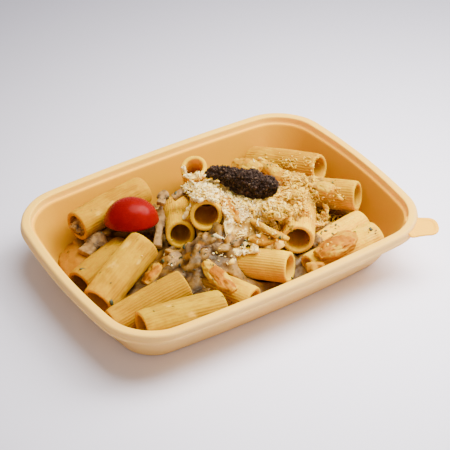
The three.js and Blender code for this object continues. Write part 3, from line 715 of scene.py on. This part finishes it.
def make_tomato():
    rows = [(0.0, -0.02), (0.4, -0.01), (0.8, 0.0), (0.93, 0.005), (0.975, 0.03), (1.0, 0.09)]
    for i in range(1, TOMATO_ROWS + 1):
        lift = math.radians(5 + 85 * i / TOMATO_ROWS)
        rows.append((math.cos(lift) ** 0.92, math.sin(lift) ** 1.05))
    yaw, pitch = math.radians(TOMATO_YAW), math.radians(-TOMATO_PITCH)
    turn = np.array(Matrix.Rotation(yaw, 3, "Z") @ Matrix.Rotation(pitch, 3, "X"))
    angle = np.linspace(0, 2 * math.pi, TOMATO_SIDES + 1)
    a, b, c = TOMATO_RADII
    points = np.array([np.stack([a * spread * np.cos(angle), b * spread * np.sin(angle),
                                 np.full_like(angle, c * rise)], axis=1) for spread, rise in rows])
    flesh = np.array([np.full_like(angle, 1.0 if rise < 0.01 else 0.0) for _, rise in rows])
    dent = 1 + 0.012 * relief(points, 12.0, 1)
    points = points * dent[..., None] @ turn.T + np.array(TOMATO_AT)
    piece = rolled("tomato_dome", points, flesh=flesh)
    return dress(piece, ["tomato_half"], "tomato")


# Chicken and mushrooms

# How much of each chicken piece's upper face is seared, and how much cream lies on the piece
CHICKEN_SEAR = [0.7, 0.45, 0.1, 0.95, 0.1, 0.15, 0.2, 0.6, 0.6, 0.9, 0.35]
CHICKEN_CREAM = [0.5, 0.3, 0.8, 0.95, 0.7, 0.7, 0.9, 0.5, 0.5, 0.15, 0.7]


def soft_rod(name, node, ends, voxel, swell):
    """A soft copy of a long solid, its corners and normals, its frame, and each corner's place in that"""
    piece = softened(name, node, voxel, rounds=3, swell=swell)
    length, along, side, over = rod_frame(*ends)
    points, normals = corners_of(piece), normals_of(piece)
    local = points - np.array(ends[0])
    return piece, points, normals, (length, along, side, over), (local @ along, local @ side, local @ over)


def make_chicken(index, *ends):
    node = f"chicken_{index + 1:02d}"
    piece, points, normals, (_, _, _, over), (u, v, w) = soft_rod(
        f"chicken_piece_{index + 1:02d}", node, ends, 0.42, 0.25)
    strand = np.stack([u / 7.0, v / 1.3, w / 1.3], axis=1)
    fibre = relief(strand, 1.0, 2, shift=index * 2.1)
    lump = relief(points, 4.0, 3, shift=index)
    split = smooth_step(-fibre, 0.25, 0.6)
    points = points + normals * (fibre * 0.45 + lump * 1.0 - split * 0.6)[:, None]
    reshape(piece, points)
    facing = smooth_step(normals @ over, 0.55, 0.9)
    facing = facing * smooth_step(relief(points, 5.0, 2, shift=index * 1.7), -0.45, 0.1)
    charred = smooth_step(relief(np.stack([u / 2.4, v, w], axis=1), 2.6, 3, shift=index * 3.1), 0.1, 0.5)
    paint(piece, "fibre", np.clip(smooth_step(-fibre, -0.1, 0.6) + split * 0.4, 0, 1))
    paint(piece, "seared", np.clip(facing * CHICKEN_SEAR[index] * (0.75 + 0.4 * charred), 0, 1))
    share = smooth_step(relief(points, 3.5, 2, shift=index * 4.3) + CHICKEN_CREAM[index] - 0.5, 0.0, 0.35)
    paint(piece, "cream", share * smooth_step(normals[:, 2], -0.2, 0.5))
    return dress(piece, [node], "chicken")


# The mushroom slices that are drawn out, those that are wide, and the one with the widest cap
LONG_SLICES, WIDE_SLICES, WIDE_CAP = (1, 6, 8), (0, 1, 6, 8), 2


def make_mushroom(index, *ends):
    node = f"mushroom_{index + 1}"
    piece, points, normals, (length, along, side, over), (u, v, w) = soft_rod(
        f"mushroom_slice_{index + 1}", node, ends, 0.4, 0.15)
    u = u / length
    cap = (0.5 if index == WIDE_CAP else 0.3) * (1 - smooth_step(u, 0.45, 0.6))
    spread = (1.5 if index in WIDE_SLICES else 1.15) + cap
    lump = relief(points, 3.0, 3, shift=index + 20)
    points = points + side * ((spread - 1) * v)[:, None] - over * (0.15 * w)[:, None]
    arch = 0.9 * relief(points, 7.0, 1, shift=index)
    points = points + normals * (lump * 0.6)[:, None] + over * arch[:, None]
    if index in LONG_SLICES:
        points = points + along * ((u - 0.5) * 3.0)[:, None] + over * 1.0
    reshape(piece, points)
    leaf = 0.5 + 0.5 * np.sin(u * length * 5.5 + 2.0 * relief(points, 3.0, 1))
    gill = smooth_step(u, 0.30, 0.4) * (1 - smooth_step(u, 0.62, 0.72)) * smooth_step(np.abs(v), 0.4, 1.4)
    gill = gill * (0.5 + 0.5 * leaf)
    rim = smooth_step(u, 0.86, 0.97)
    paint(piece, "dark", np.clip(gill * 0.9 + rim * 0.7 + 0.25 * relief(points, 5.0, 2, shift=index), 0, 1))
    return dress(piece, [node], "mushroom")


# Sauce, cheese and tapenade

class Ground:
    """The surface of the food made so far, to lay things on"""

    def __init__(self, pieces):
        corners, faces, self.owners = [], [], []
        for piece in pieces:
            first = len(corners)
            corners.extend(v.co.copy() for v in piece.data.vertices)
            faces.extend([first + i for i in face.vertices] for face in piece.data.polygons)
            self.owners.extend([piece.name] * len(piece.data.polygons))
        self.tree = BVHTree.FromPolygons(corners, faces)

    def cast(self, start, heading):
        hit, normal, face, _ = self.tree.ray_cast(start, heading)
        if hit is None:
            return None, None, ""
        if normal.dot(heading) > 0:
            normal = -normal
        return hit / MM, normal, self.owners[face]

    def drop(self, x, y):
        return self.cast(Vector((x, y, 90.0)) * MM, Vector((0, 0, -1)))

    def sight(self, across, down):
        """What the camera sees at a place in the picture, counted from its top left corner"""
        focal = LENS / SENSOR * PICTURE
        heading = right * (across - PICTURE / 2) + up * (PICTURE / 2 - down) - back * focal
        return self.cast(camera_at, heading.normalized())


def crumb_mesh(seed, faces=1, rough=0.35):
    deselect()
    bpy.ops.mesh.primitive_ico_sphere_add(subdivisions=faces, radius=1.0)
    crumb = bpy.context.active_object
    points = np.array([v.co for v in crumb.data.vertices])
    points = points * (1 + rough * relief(points, 0.8, 1, shift=seed))[:, None]
    return take_shape(crumb, points)


def shred_mesh(seed, length, width, thick, segments=5):
    """A grated shred: a flat strip that curls and tapers"""
    deselect()
    bpy.ops.mesh.primitive_cube_add(size=1.0)
    shred = bpy.context.active_object
    bpy.ops.object.mode_set(mode="EDIT")
    bpy.ops.mesh.select_all(action="SELECT")
    bpy.ops.mesh.bisect(plane_co=(0, 0, 0), plane_no=(1, 0, 0))
    for step in range(1, segments):
        bpy.ops.mesh.select_all(action="SELECT")
        bpy.ops.mesh.bisect(plane_co=(step / segments - 0.5, 0, 0), plane_no=(1, 0, 0))
    bpy.ops.object.mode_set(mode="OBJECT")
    points = np.array([v.co for v in shred.data.vertices])
    rng = np.random.default_rng(seed)
    u = points[:, 0]
    taper = 1 - rng.uniform(0.3, 0.6) * np.abs(2 * u) ** 2
    curl = rng.uniform(-0.18, 0.22)
    sway = rng.uniform(-0.15, 0.15)
    x = u * length
    y = points[:, 1] * width * taper + sway * length * (1 - 4 * u ** 2)
    z = points[:, 2] * thick * taper + curl * length * (1 - 4 * u ** 2)
    return take_shape(shred, np.stack([x, y, z], axis=1))


def take_shape(model, points):
    """The corners and faces of a finished model, which is then taken away"""
    faces = [tuple(face.vertices) for face in model.data.polygons]
    bpy.data.objects.remove(model)
    return points, faces


def strewn(name, models, places):
    """One mesh of many copies: each place gives a model, a 3 by 3 turn, a spot and a tone"""
    corners, faces, tones = [], [], []
    count = 0
    for model, turn, spot, pale in places:
        points, model_faces = models[model]
        corners.append(points @ turn.T + spot)
        faces.extend(tuple(count + i for i in face) for face in model_faces)
        tones.append(np.full(len(points), pale))
        count += len(points)
    mesh = bpy.data.meshes.new(name)
    mesh.from_pydata(np.concatenate(corners) * MM, [], faces)
    mesh.update()
    piece = in_scene(name, mesh)
    paint(piece, "tone", np.concatenate(tones))
    activate(piece)
    bpy.ops.object.shade_smooth()
    return piece


def turned(normal, rng, tilt):
    """A turn that lays a model on a surface, at any heading, tilted a little"""
    up = Vector(normal) + Vector(rng.normal(0, tilt, 3))
    up.normalize()
    side = up.orthogonal().normalized()
    side.rotate(Matrix.Rotation(rng.uniform(0, 2 * math.pi), 3, up))
    return np.array(Matrix((side, up.cross(side), up)).transposed())


# Where the sauce carries lumps: the middle of each place, its reach along X and Y, how many lumps
SAUCE_HEAPS = [
    ((-14.0, -15.0), (17.0, 12.0), 34), ((-30.0, -2.0), (12.0, 14.0), 20),
    ((44.0, -30.0), (17.0, 9.0), 34), ((-22.0, 24.0), (14.0, 10.0), 20),
    ((-22.0, -38.0), (10.0, 9.0), 12), ((8.0, -10.0), (20.0, 14.0), 26),
    ((58.0, 22.0), (12.0, 16.0), 22), ((-56.0, 2.0), (14.0, 20.0), 10),
    ((-36.0, 42.0), (20.0, 7.0), 12),
]

# The underside of the sauce, in millimetres, just over the floor of the tray
SAUCE_FLOOR = 1.2


def make_sauce():
    rng = np.random.default_rng(41)
    bed = Ground([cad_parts["sauce_bed"]])
    models = [crumb_mesh(seed, 3) for seed in (41, 42, 43)]
    places, kinds = [], []
    for at, reach, count in SAUCE_HEAPS:
        for _ in range(count):
            x, y = at[0] + reach[0] * rng.normal(0, 0.6), at[1] + reach[1] * rng.normal(0, 0.6)
            spot, normal, _ = bed.drop(x, y)
            if spot is None:
                continue
            size = rng.uniform(1.6, 4.0)
            shape = [size * rng.uniform(*span) for span in ((1.1, 2.0), (0.8, 1.2), (0.24, 0.36))]
            turn = turned(normal, rng, 0.3) * np.array(shape)
            seat = np.array(spot) + np.array(normal) * size * 0.04
            places.append((int(rng.integers(0, 3)), turn, seat, 0.5))
            kinds.append((spot, size * 1.6, rng.uniform() * 0.88))
    lumps = strewn("sauce_lumps", models, places)
    piece = softened("cream_sauce_bed", "sauce_bed", voxel=0.74, rounds=5, swell=0.45, lumps=lumps)
    points, normals = corners_of(piece), normals_of(piece)
    inside = smooth_step(points[:, 2], 3.0, 6.0)
    points += normals * (inside * relief(points, 2.6, 3) * 0.45)[:, None]
    points[:, 2] = np.maximum(points[:, 2], SAUCE_FLOOR)
    reshape(piece, points)
    kind = 0.5 + 0.42 * relief(points, 9.0, 2, shift=3.3)
    tree = KDTree(len(kinds))
    for number, (spot, _, _) in enumerate(kinds):
        tree.insert(spot, number)
    tree.balance()
    for number, point in enumerate(points):
        _, nearest, away = tree.find(point)
        if away < kinds[nearest][1]:
            kind[number] = kinds[nearest][2]
    # The bare place at the left end, which the material paints as tray wall in painted shade
    bare = smooth_step(-points[:, 0] - 3.0 * relief(points, 8.0, 2), 60.0, 68.0)
    paint(piece, "kind", kind)
    paint(piece, "bare", bare * smooth_step(points[:, 1], -30.0, -22.0))
    # Painted shade: how far each corner stands out, so that the sauce's hollows are painted darker
    paint(piece, "height", smooth_step(height_of(piece, 26), -0.7, 0.9))
    return dress(piece, ["sauce_bed"], "sauce")


def on_tapenade(x, y, swell=1.0):
    yaw = math.radians(TAPENADE_YAW)
    dx, dy = x - TAPENADE_AT[0], y - TAPENADE_AT[1]
    u = (dx * math.cos(yaw) + dy * math.sin(yaw)) / TAPENADE_HALF[0]
    v = (-dx * math.sin(yaw) + dy * math.cos(yaw)) / TAPENADE_HALF[1]
    return u * u + v * v < swell


def within(across, down, outline):
    """Whether a place in the picture lies inside an outline there"""
    inside = False
    for (x0, y0), (x1, y1) in zip(outline, outline[1:] + outline[:1]):
        if (y0 > down) != (y1 > down) and across < x0 + (x1 - x0) * (down - y0) / (y1 - y0):
            inside = not inside
    return inside


# Where the picture shows cheese: the heap's outline, then lighter falls of crumbs, each with its
# middle, its reach and how many crumbs; then how many bits lie in the outline, are dropped on the
# heap, may lie anywhere on it, and lie in a mouth
CHEESE_OUTLINE = [
    (180, 186), (190, 174), (200, 173), (215, 180), (232, 184), (252, 196), (268, 205), (281, 190),
    (284, 171), (300, 172), (314, 186), (327, 204), (330, 220), (310, 226), (296, 224), (282, 232),
    (268, 240), (250, 246), (238, 238), (228, 222), (222, 206), (206, 197), (192, 199),
]
CHEESE_FALLS = [
    ((292, 163), (26, 9), 150), ((334, 196), (12, 10), 90), ((250, 250), (12, 5), 40),
    ((196, 176), (9, 8), 90), ((318, 240), (16, 10), 24), ((222, 256), (20, 8), 20),
    ((180, 250), (26, 18), 8), ((332, 215), (12, 10), 60), ((189, 170), (6, 5), 60),
]
CHEESE_IN_OUTLINE, CHEESE_DROPPED, CHEESE_ANYWHERE, CHEESE_IN_MOUTH = 2100, 5000, 1500, 90
# The chicken that shows through the cheese, and the open tube at the front of the heap
BARE_CHICKEN, OPEN_TUBE = [CHICKEN[2], CHICKEN[7], CHICKEN[8]], RIGATONI[7][:2]
# The shred that stands steeply against a tube's mouth, which is drawn down to its foot
STEEP_SHRED = ((-11.6, -9.0, 42.5), (-7.2, -17.8, 27.4))


def whiteness(points):
    """The cheese on the left lies thicker and paler than that on the right"""
    return 1 - smooth_step(points @ np.array(right), 10.0, 42.0)


def around(points, near, far):
    """For each point: how far along a rod it lies, and its way out from the rod's middle"""
    near, far = np.array(near), np.array(far)
    share = np.clip((points - near) @ (far - near) / np.sum((far - near) ** 2), 0, 1)
    outwards = points - near - share[:, None] * (far - near)
    return share, outwards, np.maximum(np.linalg.norm(outwards, axis=1), 0.01)


def over_tube(points):
    """Where only a thin fall of cheese lies on the open tube at the front of the heap"""
    share, _, away = around(points, *OPEN_TUBE)
    return (1 - smooth_step(away, 9.5, 12.0)) * (1 - smooth_step(share, 0.75, 0.95))


def over_chicken(points):
    """Where a chicken piece shows through the cheese"""
    covered = 0.0
    for rod in BARE_CHICKEN:
        covered = np.maximum(covered, 1 - smooth_step(around(points, *rod)[2], 4.0, 6.0))
    return covered


def mixed_in(points):
    """Where the cheese at the front of the heap is stirred into the mushrooms and cream"""
    flat = points[:, :2] - np.array((2.0, -17.0))
    return 1 - smooth_step(np.linalg.norm(flat, axis=1), 8.0, 13.0)


def clumps(points):
    """From -1 where the cheese has fallen thinly to 1 where it lies in a clump"""
    return np.clip(1.3 * relief(points, 6.5, 3, shift=4.4) + 0.5 * whiteness(points) - 0.15, -1, 1)


def pulled_in(points, rod, inwards):
    """The points drawn towards the middle of a rod, each by its own length"""
    _, outwards, away = around(points, *rod)
    return points - outwards / away[:, None] * inwards(away)[:, None]


def make_cheese():
    drift = softened("cheese_drift", "grated_cheese", voxel=0.6, rounds=2, swell=0.0)
    points, normals = corners_of(drift), normals_of(drift)
    heave = 1.1 * clumps(points) + 0.9 * relief(points, 2.4, 3)
    points = points + normals * heave[:, None]
    sunk = over_tube(points) * smooth_step(relief(points, 3.5, 2), -0.6, -0.15)
    points = pulled_in(points, OPEN_TUBE, lambda away: sunk * np.clip(away - 7.0, 0, 4.0))
    for rod in BARE_CHICKEN:
        points = pulled_in(points, rod,
                           lambda away: (1 - smooth_step(away, 4.5, 6.5)) * np.clip(away - 1.8, 0, 4.0))
    loose = 1 - smooth_step(around(points, *STEEP_SHRED)[2], 2.8, 3.6)
    points = points + (np.array(STEEP_SHRED[1]) - points) * (0.88 * loose)[:, None]
    reshape(drift, points)
    # Paler in the clumps and on the left and darker where the cheese lies thin, where it also takes the sauce
    # colour under; both are partly painted shade in the hollows between clumps
    pale = 0.46 + 0.40 * clumps(points) + 0.30 * relief(points, 2.0, 2) + 0.30 * whiteness(points)
    thin = smooth_step(-clumps(points) - 0.5 * relief(points, 2.2, 2), 0.05, 0.5)
    stirred = mixed_in(points) * smooth_step(relief(points, 3.0, 3, shift=7.7), -0.35, 0.1)
    paint(drift, "tone", np.clip(pale, 0, 1))
    paint(drift, "under", np.maximum(thin, stirred))
    return dress(drift, ["grated_cheese"], "cheese")


def cheese_bit(spot, normal, rng, lift=0.0):
    """One crumb, flake or shred, and where it lies"""
    kind = rng.uniform()
    pale = 0.65 * rng.uniform() ** 0.7 + 0.45 * whiteness(spot)
    if kind < 0.45:
        size = rng.uniform(0.2, 0.6)
        turn = turned(normal, rng, 0.7) * (size * rng.uniform(0.6, 1.3, 3))
        return int(rng.integers(0, 3)), turn, spot + normal * (size * 0.3 + lift), pale
    size = rng.uniform(1.0, 2.2) if kind < 0.85 else rng.uniform(2.2, 4.4)
    turn = turned(normal, rng, 0.6) * (size * rng.uniform(0.8, 1.2, 3))
    return int(rng.integers(3, 7)), turn, spot + normal * (0.25 + lift), pale


def in_disc(rng, reach):
    """A place in a disc, anywhere with the same chance"""
    angle, away = rng.uniform(0, 2 * math.pi), reach * math.sqrt(rng.uniform(0, 1))
    return away * math.cos(angle), away * math.sin(angle), away


def strew_cheese(ground):
    rng = np.random.default_rng(77)
    models = [crumb_mesh(seed) for seed in (1, 2, 3)]
    models += [shred_mesh(11, 1.0, 0.32, 0.16, 3), shred_mesh(12, 1.0, 0.45, 0.16, 3),
               shred_mesh(13, 1.0, 0.2, 0.13, 4), shred_mesh(14, 1.0, 0.6, 0.18, 3)]
    places = []

    def lay(spot, normal, lift=0.0):
        if spot is None or spot.z < 8 or normal.z < 0.0 or on_tapenade(spot.x, spot.y, 0.35):
            return
        at = np.array([spot])
        keep = 0.12 + 0.88 * smooth_step(clumps(at)[0], -0.7, 0.2)
        keep = keep * (1 - 0.9 * over_tube(at)[0]) * (1 - 0.8 * over_chicken(at)[0])
        if rng.uniform() < keep * (1 - 0.75 * mixed_in(at)[0]):
            places.append(cheese_bit(np.array(spot), np.array(normal), rng, lift))

    while len(places) < CHEESE_IN_OUTLINE:
        across, down = rng.uniform(178, 332), rng.uniform(168, 248)
        if within(across, down, CHEESE_OUTLINE):
            spot, normal, owner = ground.sight(across, down)
            lay(spot, normal, rng.uniform(0, 1.0) if owner == "cheese_drift" else 0.0)
    for middle, reach, count in CHEESE_FALLS:
        for _ in range(count):
            across = middle[0] + reach[0] * rng.normal(0, 0.5)
            down = middle[1] + reach[1] * rng.normal(0, 0.5)
            lay(*ground.sight(across, down)[:2])
    # The first drops may lie anywhere on the heap, the rest only where the picture doesn't show it
    for number in range(CHEESE_DROPPED):
        share_x, share_y, _ = in_disc(rng, 1.0)
        x, y = CHEESE_AT[0] + CHEESE_REACH[0] * share_x, CHEESE_AT[1] + CHEESE_REACH[1] * share_y
        spot, normal, owner = ground.drop(x, y)
        if owner == "cheese_drift" and (number < CHEESE_ANYWHERE or normal.dot(back) < 0.45):
            lay(spot, normal)
    for _ in range(CHEESE_IN_MOUTH):
        x, y, away = in_disc(rng, 4.4)
        place = Vector(MOUTHS[2][0]) + Vector((x, y, 2.6 - away * 0.1))
        places.append(cheese_bit(np.array(place), np.array((0.0, 0.0, 1.0)), rng))
    dress(strewn("cheese_shreds", models, places), [], "cheese")


# What fills three of the tubes' mouths: the middle of each filling, its radius, its slot
MOUTHS = [
    ((-59.5, 42.4, 19.0), 5.4, "mushroom"), ((68.5, -29.0, 11.2), 5.0, "mushroom"),
    ((10.6, 40.8, 21.4), 4.9, "cheese"),
]


def make_filling(number, at, radius, slot):
    deselect()
    bpy.ops.mesh.primitive_ico_sphere_add(subdivisions=5, radius=1.0)
    piece = bpy.context.active_object
    piece.name = piece.data.name = f"mouth_filling_{number}"
    points = np.array([v.co for v in piece.data.vertices])
    lump = relief(points, 0.45, 3, shift=number * 5.1)
    reshape(piece, points * (radius * (0.86 + 0.45 * lump))[:, None] + np.array(at))
    bpy.ops.object.shade_smooth()
    paint(piece, "tone", 0.6 + 0.4 * lump)
    paint(piece, "dark", np.clip(0.5 - 1.6 * lump, 0, 1))
    return dress(piece, [], slot)


# How many bits lie on the tapenade, and the share of them that is large
TAPENADE_BITS, LARGE_BITS = 2300, 0.14


def make_tapenade():
    mound = softened("tapenade_mound", "olive_tapenade", voxel=0.5, rounds=2, swell=-0.25)
    points, normals = corners_of(mound), normals_of(mound)
    heave = 1.3 * relief(points, 6.0, 2, shift=2.2) + 1.2 * relief(points, 2.4, 2)
    points = points + normals * heave[:, None]
    yaw = math.radians(TAPENADE_YAW)
    along = np.array((math.cos(yaw), math.sin(yaw), 0.0))
    aside = np.array((-math.sin(yaw), math.cos(yaw), 0.0))
    offset = points - np.array(TAPENADE_AT)
    slim = smooth_step(-(offset @ along) / TAPENADE_HALF[0], -0.35, 0.7)
    offset = offset - aside * (0.28 * slim * (offset @ aside))[:, None] + aside * (3.6 * slim)[:, None]
    offset[:, 2] += slim * (1.4 - 0.2 * offset[:, 2])
    reshape(mound, offset + np.array(TAPENADE_AT))
    paint(mound, "tone", np.clip(0.25 + 0.4 * relief(points, 1.5, 2), 0, 1))
    dress(mound, ["olive_tapenade"], "tapenade")
    rng = np.random.default_rng(88)
    models = [crumb_mesh(seed) for seed in (21, 22, 23, 24, 25)]
    corners, normals = corners_of(mound), normals_of(mound)
    places = []
    while len(places) < TAPENADE_BITS:
        pick = int(rng.integers(0, len(corners)))
        if normals[pick][2] < -0.3:
            continue
        big = rng.uniform() < LARGE_BITS
        size = rng.uniform(0.6, 1.1) if big else rng.uniform(0.25, 0.6)
        turn = turned(normals[pick], rng, 0.8) * (size * rng.uniform(0.55, 1.25, 3))
        model = int(rng.integers(3, 5) if big else rng.integers(0, 3))
        places.append((model, turn, corners[pick] + normals[pick] * size * 0.25, rng.uniform() ** 1.7))
    dress(strewn("tapenade_bits", models, places), [], "tapenade")


# Cream that clings to the tubes: where in the picture, and how far it reaches in millimetres
SMEARS = [
    (126, 245, 3.2), (113, 264, 3.0), (139, 262, 1.8), (112, 202, 2.2), (98, 214, 1.8), (192, 314, 2.6),
    (168, 306, 1.4), (338, 188, 2.0), (330, 196, 2.0), (372, 236, 3.4), (366, 228, 2.4),
    (352, 218, 2.0),
]


def smear_cream(ground):
    for across, down, reach in SMEARS:
        spot, _, owner = ground.sight(across, down)
        if not owner.startswith("pasta"):
            continue
        tube = bpy.data.objects[owner]
        _, along, _, _ = rod_frame(*RIGATONI[int(owner[-2:]) - 1][:2])
        points = corners_of(tube)
        blob = np.empty(len(points), np.float32)
        tube.data.attributes["blob"].data.foreach_get("value", blob)
        offset = points - np.array(spot)
        run = offset @ along
        away = np.sqrt(np.maximum(np.sum(offset ** 2, axis=1) - 0.6 * run ** 2, 0))
        ragged = 0.55 * relief(points, 3.0, 3, shift=across) + 0.35 * relief(points, 0.9, 1)
        share = smooth_step(1 - away / (reach * 0.85) + ragged, 0.05, 0.75)
        paint(tube, "blob", np.maximum(blob, share * 0.6))


# Herb flecks that the picture shows one by one: where in the picture, and how long
HERB_SPOTS = [
    (111, 302, 3.6), (111, 283, 1.2), (157, 282, 1.3), (154, 311, 1.2), (223, 297, 1.4),
    (232, 302, 1.6), (336, 225, 1.8), (280, 238, 1.8), (283, 237, 1.4), (294, 255, 1.5),
    (292, 278, 1.6), (371, 230, 3.2), (376, 232, 2.8), (322, 233, 2.6), (326, 231, 2.0),
    (333, 234, 1.4), (316, 218, 1.4), (182, 258, 3.6), (184, 262, 2.6), (180, 265, 2.4),
    (238, 240, 2.8), (242, 245, 2.4), (244, 249, 1.6), (176, 193, 2.2), (184, 190, 2.6),
    (160, 203, 2.4), (157, 208, 2.0), (225, 222, 1.6), (238, 208, 1.6), (262, 214, 1.3),
    (258, 204, 1.4), (300, 214, 1.0), (206, 186, 2.6), (212, 184, 2.2), (77, 224, 2.4), (73, 227, 1.8),
    (345, 246, 1.4),
]
# How many flecks there are in all
HERB_FLECKS = 330


def strew_herbs(ground):
    rng = np.random.default_rng(99)
    models = [shred_mesh(31, 1.0, 0.42, 0.1), shred_mesh(32, 1.0, 0.6, 0.1), shred_mesh(33, 1.0, 0.25, 0.12)]
    places = []

    def lay(spot, normal, size, pale):
        turn = turned(normal, rng, 0.15) * (size * rng.uniform(0.8, 1.15, 3))
        places.append((int(rng.integers(0, 3)), turn, np.array(spot) + np.array(normal) * 0.12, pale))

    for across, down, size in HERB_SPOTS:
        spot, normal, _ = ground.sight(across, down)
        if spot is not None:
            lay(spot, normal, size, rng.uniform() * 0.4)
    while len(places) < HERB_FLECKS:
        spot, normal, owner = ground.drop(rng.uniform(-76, 76), rng.uniform(-50, 50))
        if spot is None or spot.z < 6 or normal.z < 0.3 or on_tapenade(spot.x, spot.y, 1.2):
            continue
        if owner.startswith("pasta") and rng.uniform() < 0.85 or owner.startswith("tomato"):
            continue
        size = rng.uniform(0.5, 1.5) if rng.uniform() < 0.85 else rng.uniform(1.5, 3.0)
        lay(spot, normal, size, rng.uniform() ** 1.5)
    dress(strewn("herb_flecks", models, places), [], "tapenade", "herb")


# Each light: its name, where it is and what it faces, its size, its power and its colour
LIGHTS = [
    ("key", (0.36, -0.07, 0.42), (0.0, 0.0, 0.02), 0.40, 7.4, (1.0, 0.98, 1.0)),
    ("front", (-0.20, -0.62, 0.34), (0.0, 0.0, 0.01), 0.5, 1.0, (1.0, 0.97, 0.96)),
    ("overhead", (0.20, -0.04, 0.85), (0.03, -0.02, 0.0), 0.7, 15.0, (0.97, 0.99, 1.0)),
]

right, up, back, camera_at = aim_camera()

# The floor is pale paper, with a painted pool of light round the tray that fades into painted shade further
# off
bpy.ops.mesh.primitive_plane_add(size=6.0, location=(0, 0, 0))
floor = bpy.context.active_object
floor.name = "floor"
paper = Finish("pale_paper", Roughness=0.6)
# Painted light: the paper's colour falls from bright near the tray to dark further away
away = paper.node("ShaderNodeVectorMath", {"operation": "DISTANCE"},
                  {0: paper.place, 1: (0.04, -0.04, 0.0)}, "Value")
fall = paper.node("ShaderNodeMath", {"operation": "EXPONENT"}, {0: (away / 0.25) ** 2.0 * -1.0})
paper.set(Base_Color=paper.mix(fall, (0.15, 0.15, 0.19), (0.92, 0.89, 0.98)))
floor.data.materials.append(paper.material)

world = bpy.data.worlds.new("studio")
bpy.context.scene.world = world
world.use_nodes = True
world.node_tree.nodes["Background"].inputs[0].default_value = (1.0, 0.80, 0.66, 1.0)
world.node_tree.nodes["Background"].inputs[1].default_value = 0.6
for lamp in LIGHTS:
    light(*lamp)

finishes = {
    "tray": tray_finish(), "pasta": pasta_finish(), "sauce": sauce_finish(), "cheese": cheese_finish(),
    "tapenade": tapenade_finish(), "chicken": chicken_finish(), "mushroom": mushroom_finish(),
    "tomato": tomato_finish(), "herb": herb_finish(),
}
dress(make_tray(), ["tray"], "tray")
dress(make_tab(), [], "tray")
food = [make_rigatone(index, *row) for index, row in enumerate(RIGATONI)]
food.append(make_tomato())
food += [make_chicken(index, *row) for index, row in enumerate(CHICKEN)]
food += [make_mushroom(index, *row) for index, row in enumerate(MUSHROOMS)]
food.append(make_sauce())
food.append(make_cheese())
food += [make_filling(number + 1, *row) for number, row in enumerate(MOUTHS)]
ground = Ground(food)
smear_cream(ground)
strew_cheese(ground)
strew_herbs(ground)
make_tapenade()
